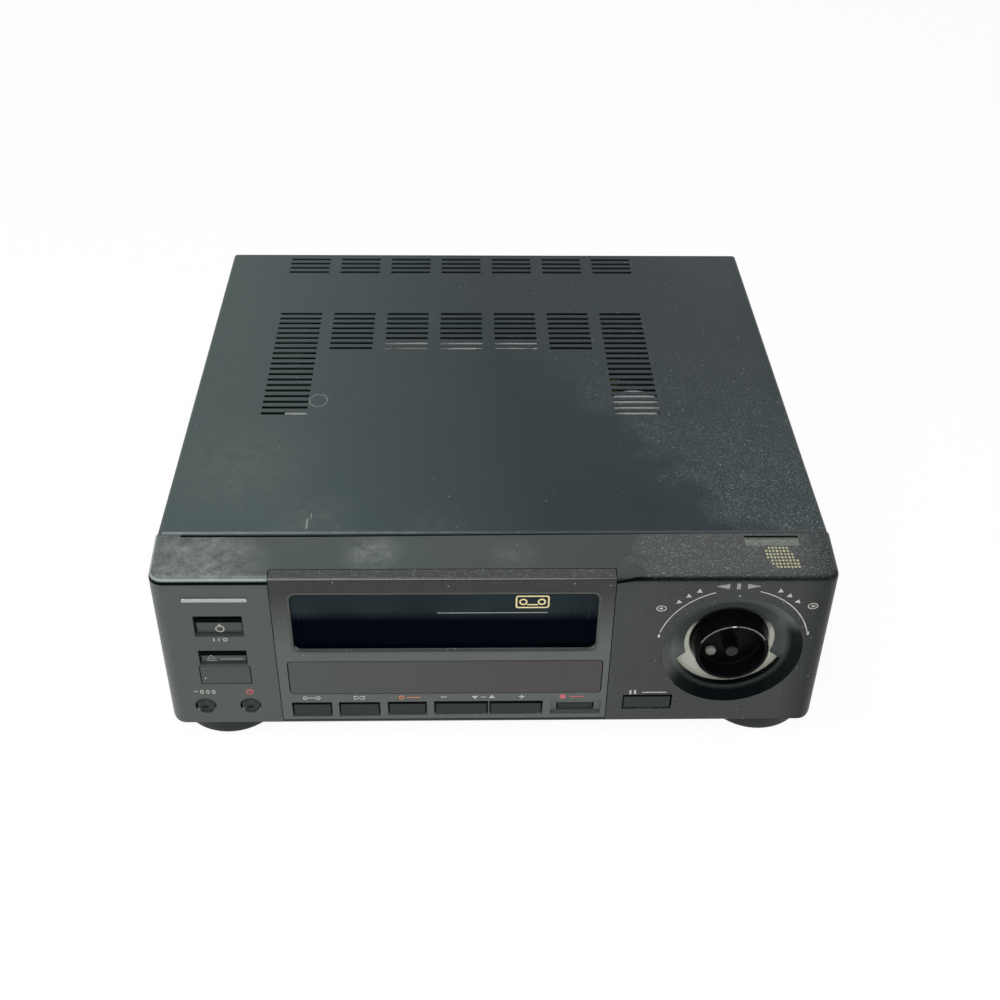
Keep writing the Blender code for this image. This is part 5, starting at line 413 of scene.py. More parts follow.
def finish(
    name, tone, second, roughness, metallic=0.0,
    patch_mm=6.0, stretch=(1, 1, 1), bump=0.0, coat=0.0, gloss=0.5, painted_shade_heights=None,
):
    """A finish of two close tones in patches, drawn out along an axis where it was brushed or turned.

    `painted_shade_heights` is (height where it starts, height where it covers all), and a painted shade darkens the
    piece in between.
    """
    paint = Paint(name)
    drawn = paint.add("ShaderNodeMapping", {"Vector": paint.place, "Scale": stretch}).outputs[0]
    patches = paint.noise(scale_of(patch_mm), 4.0, Vector=drawn)
    colour = paint.mix(patches, tone, second)
    # Painted shade between two heights.
    if painted_shade_heights:
        colour = paint.mix(paint.ramp(paint.z, height(painted_shade_heights[0]), height(painted_shade_heights[1])), colour, PAINTED_SHADE_TONE)
    more = {"Metallic": metallic, "Coat Weight": coat}
    if bump:
        more["Normal"] = paint.relief(patches, bump)
    return paint.close(colour, paint.ramp(patches, 0.3, 0.7, roughness * 0.85, roughness * 1.15), gloss, more)


# The shuttle ring's upper part is painted darker, a painted shade where the dish's mouth shades it.
GREY_ABS = finish("moulded_grey_abs", "#9A9D91", "#A4A79B", 0.50, patch_mm=2.0, bump=0.05, painted_shade_heights=(36.5, 41.5))
BLACK_ABS = finish("polished_black_abs", "#050607", "#090A0B", 0.30, patch_mm=3.0, gloss=0.04)
# The rim's upper arc is worn and also carries a painted highlight.
RIM_WEAR_AND_HIGHLIGHT = finish("rim_wear_and_painted_highlight", "#0C0E0E", "#7E817D", 0.45, patch_mm=0.7, gloss=0.2)
# Two painted glints of light on the rim's top.
RIM_GLINT = finish("painted_rim_glint", "#C4C7C3", "#E2E4E0", 0.30, patch_mm=0.6)
SHAFT_END = finish("oxidised_shaft_end", "#151618", "#28292B", 0.45, patch_mm=1.2, gloss=0.15)
# A black finish for strips that paint the shadow in narrow gaps.
GAP_BLACK = finish("unlit_gap", "#020303", "#060707", 0.8, patch_mm=1.0, gloss=0.02)
PEG_NYLON = finish("grey_peg_nylon", "#5C5D58", "#7A7B75", 0.5, patch_mm=1.0)
MATT_BLACK = finish("moulded_black_abs", "#17191A", "#1F2122", 0.45, patch_mm=1.0, bump=0.05)
FOOT_ABS = finish("moulded_foot_abs", "#171C1B", "#1E2322", 0.42, patch_mm=1.0, bump=0.05, gloss=0.22)
RUBBER = finish("moulded_black_rubber", "#161717", "#1E1F1E", 0.75, patch_mm=1.5, bump=0.12)
ZINC_STEEL = finish("zinc_plated_steel", "#B9B9B2", "#CDCDC8", 0.30, 1.0, patch_mm=0.6, stretch=(0.05, 1, 1))
GALVANISED = finish("galvanised_steel", "#A7ABAC", "#C2C5C6", 0.38, 1.0, patch_mm=5.0)
TINPLATE = finish("bright_tinplate", "#CFCFC8", "#E4E4DE", 0.24, 1.0, patch_mm=8.0)
TURNED_ALUMINIUM = finish("turned_aluminium", "#D2D4D6", "#DEE0E2", 0.22, 1.0, patch_mm=0.4, stretch=(1, 1, 12))
NYLON = finish("moulded_nylon", "#D6D2C6", "#DEDACF", 0.48, patch_mm=2.5)
FERRITE = finish("laminated_core_iron", "#35363A", "#404146", 0.55, patch_mm=0.5, stretch=(1, 1, 14), bump=0.2)
TUBE_GLASS = finish("display_tube_glass", "#2A3434", "#303A3A", 0.08, coat=0.4)
PLATED_SHEET = finish("passivated_zinc_sheet", "#E4E4DE", "#F3F3EE", 0.42, 0.1, patch_mm=3.0)
CAN_SLEEVE = finish("pale_pvc_sleeve", "#ECECE7", "#F6F6F1", 0.40, patch_mm=3.0)
DULL_TIN = finish("dull_tinned_steel", "#3A3B3A", "#494A48", 0.5, 0.6, patch_mm=4.0)
print("materials so far:", len(bpy.data.materials))

# %% [markdown]
# The circuit boards are a green-brown laminate with a printed pattern of copper lines under the lacquer.
# A grid of lines stands for the tracks, which only show through the vent slots.

# %% Circuit laminate
paint = Paint("lacquered_circuit_laminate")
board = {"Color1": linear("#5E6A3C"), "Color2": linear("#66723F"), "Mortar": linear("#8A8F52"), "Mortar Size": 0.03}
board |= {"Vector": paint.place, "Scale": scale_of(9)}
LAMINATE = paint.close(paint.add("ShaderNodeTexBrick", board, offset=0.37).outputs["Color"], 0.42)

# %% [markdown]
# The cassette flap is smoked acrylic. Its upper part is painted a shade lighter, a painted reflection of the
# room. The display window is a tinted acrylic that runs from a cool tone at the left to a warm one at the right.

# %% Acrylic windows
ACRYLIC = {"IOR": 1.49}
paint = Paint("smoked_acrylic")
# Painted reflection: the flap's upper part runs to a lighter tone.
painted_light_by_height = paint.ramp(paint.z, height(45.5), height(51.5), interpolation_type="SMOOTHSTEP")
shade = paint.mix(paint.times(painted_light_by_height, paint.noise(30.0)), "#000309", "#2D3739")
SMOKED_ACRYLIC = paint.close(shade, 0.10, 0.01, ACRYLIC)
paint = Paint("tinted_acrylic")
shade = paint.mix(paint.ramp(paint.x, -72 * MM, 20 * MM), "#333938", "#302D2A")
TINTED_ACRYLIC = paint.close(shade, paint.ramp(paint.noise(scale_of(0.8)), 0, 1, 0.26, 0.36), more=ACRYLIC)

# %% [markdown]
# Printed marks are screen-printed ink. It lies a few hundredths of a millimetre proud, and years of
# fingers have thinned it, so a fine noise lets the plastic's own tone through.


# %% Inks
def ink(name, tone, under="#4A4C49", kept=0.62):
    """Worn screen-printed ink that lets the plastic show through in small spots."""
    paint = Paint(name)
    keep = paint.ramp(paint.noise(scale_of(0.5), 3.0), 0.30, 0.52, kept, 1.0)
    return paint.close(paint.mix(keep, under, tone), 0.5)


PALE_INK = ink("pale_grey_ink", "#A9A9A2", kept=0.5)
DIM_INK = ink("thin_grey_ink", "#7E817C")
RED_INK = ink("red_ink", "#B4505A")
ORANGE_INK = ink("orange_ink", "#BE6E50")
GOLD_INK = ink("pale_gold_ink", "#D8C893")
DOT_INK = ink("worn_gold_ink", "#AEA983", under="#2C302C", kept=0.2)
POST_GLINT = finish("faint_glint_behind_acrylic", "#161D20", "#242C2F", 0.3, patch_mm=2.0, gloss=0.03)
print("materials so far:", len(bpy.data.materials))

# %% [markdown]
# ## Small tools for modelling
# Every new piece starts as a primitive and is shaped in edit mode. An operator works on all that is
# selected, so each step first deselects everything and then picks faces, edges or points by their place.


# %% Pick, finish and place
def alone(*pieces):
    """Leaves edit mode and selects only these pieces, with the first as the active one."""
    if bpy.context.mode != "OBJECT":
        bpy.ops.object.mode_set(mode="OBJECT")
    bpy.ops.object.select_all(action="DESELECT")
    for piece in reversed(pieces):
        piece.select_set(True)
        bpy.context.view_layer.objects.active = piece


def start(primitive, name, **settings):
    """Adds a primitive with nothing else selected, names it, and sets its turn and scale in its mesh."""
    alone()
    primitive(**settings)
    piece = bpy.context.object
    piece.name = piece.data.name = name
    bpy.ops.object.transform_apply(location=True, rotation=True, scale=True)
    return piece


def pick(piece, kind, test=lambda *place: True):
    """Opens a piece in edit mode and selects only its faces, edges or points that pass a test of place."""
    if bpy.context.mode == "OBJECT":
        bpy.ops.object.select_all(action="DESELECT")
        bpy.context.view_layer.objects.active = piece
        bpy.ops.object.mode_set(mode="EDIT")
    bpy.ops.mesh.select_all(action="DESELECT")
    bpy.ops.mesh.select_mode(type=kind)
    shape = bmesh.from_edit_mesh(piece.data)
    for item in {"VERT": shape.verts, "EDGE": shape.edges, "FACE": shape.faces}[kind]:
        if kind == "FACE":
            item.select_set(test(item.calc_center_median()))
        elif kind == "EDGE":
            item.select_set(test(*(point.co for point in item.verts)))
        else:
            item.select_set(test(item.co))
    shape.select_flush_mode()
    bmesh.update_edit_mesh(piece.data)


def extrude(shift):
    """Extrudes what is selected and moves it."""
    bpy.ops.mesh.extrude_region_move(TRANSFORM_OT_translate={"value": shift})


def grow(ratio, centre):
    """Scales what is selected about a point."""
    bpy.ops.transform.resize(value=(ratio, ratio, ratio), center_override=centre)


def face_out():
    """Turns all faces of the open piece outwards."""
    bpy.ops.mesh.select_all(action="SELECT")
    bpy.ops.mesh.normals_make_consistent(inside=False)


def done(piece, material, body, *replaced, edge=0.0, smooth=35):
    """Leaves edit mode, rounds the edges, shades the piece, gives it a finish and seats it on its body."""
    alone(piece)
    if edge:
        rounding = piece.modifiers.new("edge_rounding", "BEVEL")
        rounding.width = edge * MM
        rounding.segments = 2
        rounding.limit_method = "ANGLE"
        rounding.angle_limit = math.radians(30)
        bpy.ops.object.modifier_apply(modifier=rounding.name)
    bpy.ops.object.shade_smooth_by_angle(angle=math.radians(smooth))
    flat_first = piece.modifiers.new("flat_faces_stay_flat", "WEIGHTED_NORMAL")
    flat_first.keep_sharp = True
    bpy.ops.object.modifier_apply(modifier=flat_first.name)
    piece.data.materials.clear()
    piece.data.materials.append(material)
    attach(piece, body)
    if replaced:
        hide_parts(*replaced)
    return piece


def repeat(piece, name, shift, body):
    """Copies a finished piece, with a mesh of its own, moves the copy in millimetres and seats it."""
    made = bpy.data.objects.new(name, piece.data.copy())
    made.data.name = name
    made.data.transform(Matrix.Translation(Vector(shift) * MM))
    bpy.context.scene.collection.objects.link(made)
    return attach(made, body)


def joined(name, pieces):
    """Makes one piece of several raw ones that share a finish and a body."""
    alone(*pieces)
    if len(pieces) > 1:
        bpy.ops.object.join()
    pieces[0].name = pieces[0].data.name = name
    return pieces[0]


# %% [markdown]
# Round pieces are drawn up ring by ring, as on a lathe. A circle is extruded along the axis and each new
# ring is scaled to its own radius, so the outline of a real turned or moulded piece can be followed closely.


# %% Turned pieces
FACINGS = {
    "front": Euler((math.radians(90), 0, 0)),
    "back": Euler((math.radians(-90), 0, 0)),
    "up": Euler((0, 0, 0)),
    "down": Euler((math.radians(180), 0, 0)),
    "left": Euler((0, math.radians(-90), 0)),
    "right": Euler((0, math.radians(90), 0)),
}
HAIR = 0.001 * MM


def circle(name, sides, radius, centre, turn, fill="NOTHING"):
    """Starts a piece from a circle, given its radius in millimetres."""
    settings = {"vertices": sides, "radius": radius * MM, "fill_type": fill, "location": centre, "rotation": turn}
    return start(bpy.ops.mesh.primitive_circle_add, name, **settings)


def turned(name, centre, facing, rings, sides=64):
    """A round piece: its rings are (radius, distance along the way it faces), in millimetres."""
    turn = FACINGS[facing]
    way = turn.to_matrix() @ Vector((0, 0, 1))
    radius, along = rings[0]
    first = centre + way * along * MM
    piece = circle(name, sides, radius, first, turn)
    pick(piece, "EDGE")
    for next_radius, next_along in rings[1:]:
        extrude(way * (next_along - along) * MM)
        grow(next_radius / radius, centre + way * next_along * MM)
        radius, along = next_radius, next_along

    def on_first_ring(*ends):
        away = [end - first for end in ends]
        return all(abs(a.dot(way)) < HAIR and abs(a.length - rings[0][0] * MM) < HAIR for a in away)

    if rings[-1] != rings[0]:
        bpy.ops.mesh.edge_face_add()
        pick(piece, "EDGE", on_first_ring)
        bpy.ops.mesh.edge_face_add()
    bpy.ops.mesh.select_all(action="SELECT")
    bpy.ops.mesh.remove_doubles(threshold=HAIR)
    face_out()
    return piece


# %% [markdown]
# Flat forms such as bezels, key frames and printed marks are flat outlines with a little thickness. A
# polygon with three sides is a triangle, with four a bar, and with many a disc. An inset with its middle
# taken out turns any of them into a frame.


# %% Flat forms
SQUARE = math.pi / 4
THIN = 0.04
PLANES = {
    "front": (Vector((0, -1, 0)), lambda turn: Euler((math.radians(90), turn, 0))),
    "up": (Vector((0, 0, 1)), lambda turn: Euler((0, 0, -turn))),
    "back": (Vector((0, 1, 0)), lambda turn: Euler((math.radians(-90), turn, 0))),
}


def flat(name, sides, across, up, size, back=0.0, thick=THIN, turn=0.0, hollow=0.0, corner=0.0, plane="front"):
    """A flat form that faces to the front, up or back, centred on a place and stretched to a width and height."""
    outwards, tilt = PLANES[plane]
    centre = spot(across, back, up)
    piece = circle(name, sides, 1.0, centre, tilt(turn), fill="NGON")
    points = [vertex.co - centre for vertex in piece.data.vertices]
    tall_axis = 1 if plane == "up" else 2
    stretch = [1, 1, 1]
    for axis, length in ((0, size[0]), (tall_axis, size[1])):
        stretch[axis] = length * MM / (max(point[axis] for point in points) - min(point[axis] for point in points))
    pick(piece, "FACE")
    bpy.ops.transform.resize(value=stretch, center_override=centre)
    if corner:
        bpy.ops.mesh.bevel(offset=corner * MM, segments=4, affect="VERTICES")
    if hollow:
        bpy.ops.mesh.inset(thickness=hollow * MM)
        bpy.ops.mesh.delete(type="FACE")
        bpy.ops.mesh.select_all(action="SELECT")
    extrude(outwards * thick * MM)
    face_out()
    return piece


def bar(across, up, size, turn=0.0, name="bar", **more):
    """A rectangle, which is a square that was turned by an eighth before it was stretched."""
    return flat(name, 4, across, up, size, turn=SQUARE + turn, **more)


def ring(across, up, size, line=0.3, sides=24, **more):
    """A round outline."""
    return flat("ring", sides, across, up, size, hollow=line, **more)


def arrow(across, up, size, turn=0.0, **more):
    """A triangle that points up before it is turned."""
    return flat("arrow", 3, across, up, size, turn=turn, **more)


def arc(name, across, up, radius, first, last, width, back=0.0, thick=THIN):
    """A printed line that follows part of a circle, between two angles from the right in degrees."""
    centre = spot(across, back, up)
    piece = circle(name, 120, radius, centre, FACINGS["front"])

    def outside(point):
        angle = math.degrees(math.atan2(point.z - centre.z, point.x - centre.x))
        return not first <= angle <= last

    pick(piece, "VERT", outside)
    bpy.ops.mesh.delete(type="VERT")
    pick(piece, "EDGE")
    extrude((0, 0, 0))
    grow(1 + width / radius, centre)
    bpy.ops.mesh.select_all(action="SELECT")
    extrude((0, -thick * MM, 0))
    face_out()
    return piece


# %% [markdown]
# ## Casing
# The cover, the panel and the other mouldings already have their right shape in the frame. Real edges are
# never perfectly sharp, and a fine round along them is what catches the light. So each is copied, its
# loose triangles are merged into flat faces, and its edges are rounded by a fraction of a millimetre.


# %% A rounded copy of a frame piece
def merged(piece, flatten=True):
    """Merges a piece's doubled points, and its triangles into flat faces."""
    pick(piece, "VERT")
    bpy.ops.mesh.remove_doubles(threshold=0.002 * MM)
    if flatten:
        bpy.ops.mesh.dissolve_limited(angle_limit=math.radians(0.5), use_dissolve_boundaries=False)
    bpy.ops.object.mode_set(mode="OBJECT")


def shell_of(node, flatten=True, reshape=None):
    """A copy of a frame piece, merged and with its points moved by a rule."""
    piece = bpy.data.objects.new(node + "_shell", frame["nodes"][node].data.copy())
    piece.data.name = piece.name
    bpy.context.scene.collection.objects.link(piece)
    merged(piece, flatten)
    if reshape:
        for vertex in piece.data.vertices:
            vertex.co += reshape(vertex.co)
    return piece


def refined(node, material, edge=0.25, reshape=None):
    """A finished copy of a frame piece with its edges rounded."""
    return done(shell_of(node, reshape=reshape), material, carrier[node], node, edge=edge)


def cover_fold(point):
    """Thins the cover's top to the half millimetre of the real sheet, and brings its front edge over the panel."""
    raised = 0.5 * MM if abs(point.z - height(TOP - 1)) < 0.06 * MM else 0
    on_top = point.z + raised > height(TOP - 0.9)
    return Vector((0, -1.5 * MM if on_top and point.y < spot(0, 24.2, 0).y else 0, raised))


cover = refined("top_cover", COATED_STEEL, edge=0.15, reshape=cover_fold)
fascia = refined("fascia", MOULDED_FASCIA, edge=0.25)
door = refined("cassette_door", SMOKED_ACRYLIC, edge=0.3)
display = refined("display_window", TINTED_ACRYLIC, edge=0.2)
sensor = refined("sensor_window", SENSOR_ACRYLIC, edge=0.15)
print("casing:", [len(piece.data.polygons) for piece in (cover, fascia, door, display, sensor)])

# %% [markdown]
# The cover's front edge is hemmed. A narrow strip on the hem carries a painted highlight of its rolled edge,
# brightest at the left and fading to the right. Behind it are two old marks on the top: the outline that a
# wet part left when it dried, and a chalky scrape.

# %% Painted hem highlight and old marks
# Painted highlight: light at the left, running into the cover's dark tone towards the right.
paint = Paint("hem_painted_highlight")
run = paint.math("ADD", paint.ramp(paint.x, -105 * MM, 25 * MM), paint.noise(scale_of(4), 4.0))
HEM_HIGHLIGHT = paint.close(paint.mix(paint.ramp(run, 0.35, 1.35), "#6A7573", "#1E282B"), 0.34, 0.4)
DRIED_MARK = finish("dried_water_mark", "#48524F", "#7C8783", 0.5, patch_mm=0.9, gloss=0.3)
CHALK = finish("chalky_scrape", "#3E4745", "#7F8883", 0.7, patch_mm=0.5)
FILM = {"thick": 0.02, "plane": "up"}
hem = bar(0.0, TOP, (220.0, 1.2), back=23.1, name="cover_hem", **FILM)
done(hem, HEM_HIGHLIGHT, "case")
mark = flat("dried_mark", 7, -64.9, TOP, (7.4, 8.8), back=101.8, turn=-0.3, hollow=0.35, **FILM)
done(mark, DRIED_MARK, "case")
scrape = bar(-62.7, TOP, (0.8, 6.0), -0.12, back=27.8, **FILM)
branch = bar(-61.6, TOP, (0.5, 3.6), 0.35, back=32.0, **FILM)
done(joined("chalk_scrape", [scrape, branch]), CHALK, "case")
print("hem", round(hem.dimensions.x / MM, 1), "mm long")

# %% [markdown]
# ## Front panel
# The panel's corners and its crown are the largest round forms in sight, and one bright line runs along
# them. The frame's panel gives its openings and its hollow, but its round edges are coarse. So a smooth
# form is made from a box, and a copy of the frame's panel is let out by a millimetre and trimmed to it.

# %% Smooth outer form of the panel
PANEL_BACK, FORM_BACK = 23.5, 37.5
FACE_HALF = 111.2
back_half = FACE_HALF + 1.3 / PANEL_BACK * FORM_BACK
full_height = (panel_high.z - panel_low.z) / MM


def box_form(name, across, back, up):
    """A plain box to be shaped, given where it starts and ends each way in the panel's measures."""
    size = [(high - low) * MM for low, high in (across, back, up)]
    middle = spot(*((low + high) / 2 for low, high in (across, back, up)))
    return start(bpy.ops.mesh.primitive_cube_add, name, size=1, location=middle, scale=size)


def cut_to(piece, tool, operation):
    """Combines two shapes by an exact Boolean and removes the tool."""
    alone(piece)
    change = piece.modifiers.new("shaping", "BOOLEAN")
    change.object = tool
    change.operation = operation
    change.solver = "EXACT"
    bpy.ops.object.modifier_apply(modifier=change.name)
    bpy.data.objects.remove(tool)


form = box_form("panel_form", (-back_half, back_half), (0, FORM_BACK), (0, full_height))
pick(form, "VERT", lambda point: point.y < panel_low.y + MM)
bpy.ops.transform.resize(value=(FACE_HALF / back_half, 1, 1), center_override=spot(0, 0, full_height / 2))
pick(form, "EDGE", lambda a, b: max(a.y, b.y) < panel_low.y + MM and abs(a.z - b.z) > 10 * MM)
bpy.ops.mesh.bevel(offset=5 * MM, segments=10)
pick(form, "EDGE", lambda a, b: min(a.z, b.z) > panel_high.z - MM)
bpy.ops.mesh.bevel(offset=2.8 * MM, segments=8)
foot_form = box_form("panel_foot_form", (-112.5, 112.5), (-5, FORM_BACK + 5), (0, full_height + 5))
pick(foot_form, "EDGE", lambda a, b: max(a.z, b.z) < panel_low.z + MM and abs(a.y - b.y) > 10 * MM)
bpy.ops.mesh.bevel(offset=4.5 * MM, segments=10)
cut_to(form, foot_form, "INTERSECT")
print("panel form:", len(form.data.polygons), "faces")

# %% Trim the panel to its form
DISH_ACROSS, DISH_UP, DISH_RIM = 79.5, 32.8, 23.7


def let_out(point):
    """How a point of the outer skin moves when the skin is let out by a millimetre."""
    across, back, up = point.x / MM, (point.y - panel_low.y) / MM, (point.z - panel_low.z) / MM
    side = math.copysign(1, across)
    wide = abs(across)
    crown = back < 3.05 and up > full_height - 3.05 and math.hypot(back - 3, up - full_height + 3) > 2.9
    toe = back < 1.25 and up < 1.25 and math.hypot(back - 1.2, up - 1.2) > 1.1
    corner = back < 5.4 and wide > 106 and math.hypot(wide - 106.2, back - 5) > 4.7
    foot = wide > 108 and up < 4.1 and math.hypot(wide - 108.5, up - 4) > 3.9
    flank = wide > 111.0 and back < PANEL_BACK + 0.1
    shift = Vector((0, 0, 0))
    if back < 0.02 or crown or toe or corner:
        shift.y = -1
    if flank or corner or foot:
        shift.x = side
    if up > full_height - 0.02 or crown or (flank and up > full_height - 1.3):
        shift.z = 1
    if up < 0.02 or toe or foot:
        shift.z = -1
    if shift.y < 0 and abs(math.hypot(across - DISH_ACROSS, up - DISH_UP) - DISH_RIM) < 0.3:
        shift += Vector((across - DISH_ACROSS, 0, up - DISH_UP)) / DISH_RIM * 1.32
    return shift * MM


panel = shell_of("front_panel", flatten=False, reshape=let_out)
cut_to(panel, form, "INTERSECT")
cut_to(panel, box_form("panel_rebate", (-110.5, 110.5), (20.9, 30), (65.05, 70)), "DIFFERENCE")
merged(panel)
done(panel, MOULDED_PANEL, "case", "front_panel", edge=0.25)
print("panel:", len(panel.data.polygons), "faces")

# %% [markdown]
# The cover lies in a ledge along the panel's rear edge. The gap in front of it is widest near the left, where
# it is in full shadow, and a black strip on its floor and wall paints that shadow. Towards the right it
# closes, and under the dust it can't be seen at all.

# %% Gap before the cover
ledge = bar(-16.7, 65.06, (173.4, 1.6), back=21.8, **FILM)
wall = bar(-16.7, 65.4, (173.4, 0.64), back=22.27, thick=0.02)
done(joined("ledge_shadow", [ledge, wall]), GAP_BLACK, "case")
LEDGE = {"back": 21.56, "thick": 0.66, "plane": "up"}
wedge = bar(5.0, 65.09, (130.0, 1.3), **LEDGE)
pick(wedge, "VERT", lambda point: point.x < -59 * MM and point.y > spot(0, 22, 0).y)
bpy.ops.transform.translate(value=(0, -1.26 * MM, 0))
gap_fill = [wedge] + [bar(across, 65.09, (wide, 1.3), **LEDGE) for across, wide in ((90.2, 40.4), (-107.0, 6.8))]
filled = done(joined("gap_fill", gap_fill), MOULDED_PANEL, "case")
print("gap fill:", round(filled.dimensions.x / MM, 1), "mm long")

# %% [markdown]
# ## Keys
# Each key is a small moulding with a crisp round edge, so the same treatment gives them their highlight. A
# painted shadow, a dark band in the keys' finish, lies along the top of each one, where it slopes back into
# its opening.

# %% Rounded keys
ROUND_KEYS = ("counter_reset_button", "quick_timer_button")
own_finish = {"power_button": UPPER_KEY_ABS, "eject_button": UPPER_KEY_ABS, "pause_button": PAUSE_ABS}
keys = [node for node in sorted(frame["nodes"]) if node.endswith("_button") and node not in ROUND_KEYS]
for node in keys:
    refined(node, own_finish.get(node, KEY_ABS), edge=0.3)
print("keys:", keys)

# %% [markdown]
# The two small round buttons have dished tops that hold a fingertip. Each is turned from its skirt to the
# rim and down into the dish, and sits a little below the panel's face.

# %% Round buttons
BUTTON_RINGS = (
    (1.4, -10.6), (1.4, -3.2), (3.9, -3.2), (3.9, -2.2), (3.3, -2.2), (3.3, -0.35), (2.95, 0.0), (2.45, 0.0),
    (2.15, -0.3), (1.5, -0.75), (0.7, -1.0),
)
for node in ROUND_KEYS:
    low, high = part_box(node)
    centre = Vector(((low.x + high.x) / 2, low.y, (low.z + high.z) / 2))
    done(turned(node + "_cap", centre, "front", BUTTON_RINGS, sides=48), ROUND_KEY_ABS, carrier[node], node, smooth=40)
print("round buttons at", round(centre.z / MM, 1), "mm")

# %% [markdown]
# ## Jog and shuttle dial
# The knob of this machine is lost. What is left is a glossy black jog hub, like a small cup, with the end
# of its shaft and a grey drive peg inside. Its rim is worn along its upper arc, which also carries a painted
# highlight, with two painted glints at the top. Round it, through the mouth of the dish, shows the light
# grey shuttle ring, whose upper part carries a painted shade.

# %% Jog hub and shuttle ring
hub_low, hub_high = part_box("jog_hub")
DIAL = Vector(((hub_low.x + hub_high.x) / 2, panel_low.y, (hub_low.z + hub_high.z) / 2))
dial_across, dial_up = DIAL.x / MM, (DIAL.z - panel_low.z) / MM
rings = (
    (13.1, -6.9), (13.1, -6.6), (12.3, 0.35), (12.15, 0.65), (11.85, 0.8), (11.3, 0.8), (11.0, 0.6), (10.9, 0.2),
    (10.9, -5.0), (10.5, -5.4), (2.7, -5.4), (2.4, -5.2), (2.4, -0.3), (2.1, 0.0),
)
done(turned("jog_cup", DIAL, "front", rings, sides=96), BLACK_ABS, "jog", "jog_hub", smooth=30)
sunk = (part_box("shuttle_ring")[0].y - panel_low.y) / MM
rings = ((13.5, -2.5), (20.7, -2.5), (20.7, -0.5), (20.3, -0.2), (13.9, 0.0), (13.5, -0.3), (13.5, -2.5))
rings = [(radius, along - sunk) for radius, along in rings]
done(turned("shuttle_face", DIAL, "front", rings, sides=96), GREY_ABS, "shuttle", "shuttle_ring", smooth=30)
rings = ((1.8, -5.6), (1.8, -4.4), (1.5, -4.15), (0.6, -4.05))
done(turned("drive_peg", spot(73.5, 0, 28.6), "front", rings, sides=24), PEG_NYLON, "jog")


def rim_arc(name, *place, **more):
    """A thin line that follows part of a circle round the dial's axis."""
    return arc(name, dial_across, dial_up, *place, thick=0.02, **more)


# Wear and a painted highlight along the rim's upper arc.
done(rim_arc("jog_rim_wear_and_highlight", 11.7, 28, 158, 0.5, back=-0.81), RIM_WEAR_AND_HIGHLIGHT, "jog")
# Painted highlight: two glints of light on the rim's top.
spots = [rim_arc("rim_glint", 11.75, first, last, 0.42, back=-0.84) for first, last in ((88, 96), (80, 84))]
done(joined("jog_rim_glints", spots), RIM_GLINT, "jog")
rings = ((2.0, 0.01), (2.0, 0.05), (1.7, 0.12), (0.5, 0.12), (0.35, 0.02))
done(turned("jog_shaft_end", DIAL, "front", rings, sides=32), SHAFT_END, "jog")
print("dial axis at", tuple(round(part / MM, 1) for part in DIAL))

# %% [markdown]
# Four broad round feet carry the machine. Each is a hard black moulding with a rounded lower edge, a groove
# and a sunk middle for its screw. The one at the front left sits a millimetre further in.

# %% Feet
FEET = ("foot_front_left", "foot_front_right", "foot_rear_left", "foot_rear_right")
FOOT_GROWTH = 17.9 / 16.2
feet_at = []
for node in FEET:
    low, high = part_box(node)
    centre = Vector(((low.x + high.x) / 2, (low.y + high.y) / 2, high.z))
    if node == "foot_front_left":
        centre.x += MM
    feet_at.append((centre.x / MM, (centre.y - panel_low.y) / MM))
    tall = (high.z - low.z) / MM
    rings = ((14.8, 0.05), (15.9, 0.4), (16.2, 1.0), (16.2, tall - 1.6), (16.0, tall - 0.8), (15.6, tall - 0.25))
    rings += ((15.0, tall), (12.0, tall), (11.7, tall - 0.5), (10.8, tall - 0.5), (10.5, tall), (5.2, tall))
    rings += ((4.8, tall - 0.6), (4.8, tall - 2.2))
    rings = [(radius * FOOT_GROWTH, along) for radius, along in rings]
    done(turned(node + "_dressed", centre, "down", rings, sides=72), FOOT_ABS, "case", node, smooth=40)
print("feet:", round(tall, 1), "mm tall")

# %% [markdown]
# The slope of the dish faces the camera squarely, so it reflects only the dark side of the room, while
# the panel round it reflects the pale table. Its finish paints that dark reflection in, on the sector from the
# lower left round to the right, with less gloss there, and a black painted shadow on the wall and the step
# below the ring. At the top and left the slope and the step are painted lighter, against their shade.

# %% Dark slope of the dish
paint = Paint("dish_polystyrene_painted_reflection")
from_axis = paint.vector("SUBTRACT", paint.place, DIAL)
down_right = (math.cos(math.radians(-60)), 0, math.sin(math.radians(-60)))
towards = paint.vector("DOT_PRODUCT", from_axis, down_right)
sector = paint.ramp(towards, -5 * MM, 5 * MM, interpolation_type="SMOOTHSTEP")
radial = paint.vector("LENGTH", paint.vector("MULTIPLY", from_axis, (1, 0, 1)))
lip = paint.ramp(radial, 19.6 * MM, 20.6 * MM, 0.8, 0.0)
inner = paint.ramp(radial, 18.8 * MM, 19.5 * MM, 1.0, 0.0)
# Painted light and shade: the dark sector stands for the dark reflection, the wall and the lower step are black as
# painted shadow, and the upper side is painted lighter against its shade.
wall = paint.times(paint.ramp(paint.y, spot(0, 3.4, 0).y, spot(0, 3.6, 0).y), sector)
deep = paint.mix(lip, paint.mix(paint.noise(scale_of(3), 3.0), "#020506", "#0A1011"), "#2E3432")
pale = paint.mix(lip, paint.mix(paint.ramp(paint.z, DIAL.z, DIAL.z + 20 * MM), "#262C2A", "#4F5754"), "#454D4A")
zone = paint.mix(paint.ramp(paint.z, DIAL.z - 8 * MM, DIAL.z - 4 * MM), "#030404", "#3D4240")
tone = paint.mix(inner, paint.mix(wall, paint.mix(sector, pale, deep), "#030404"), zone)
DISH_SLOPE = paint.close(tone, 0.30, paint.ramp(sector, 0, 1, 0.5, 0.06))


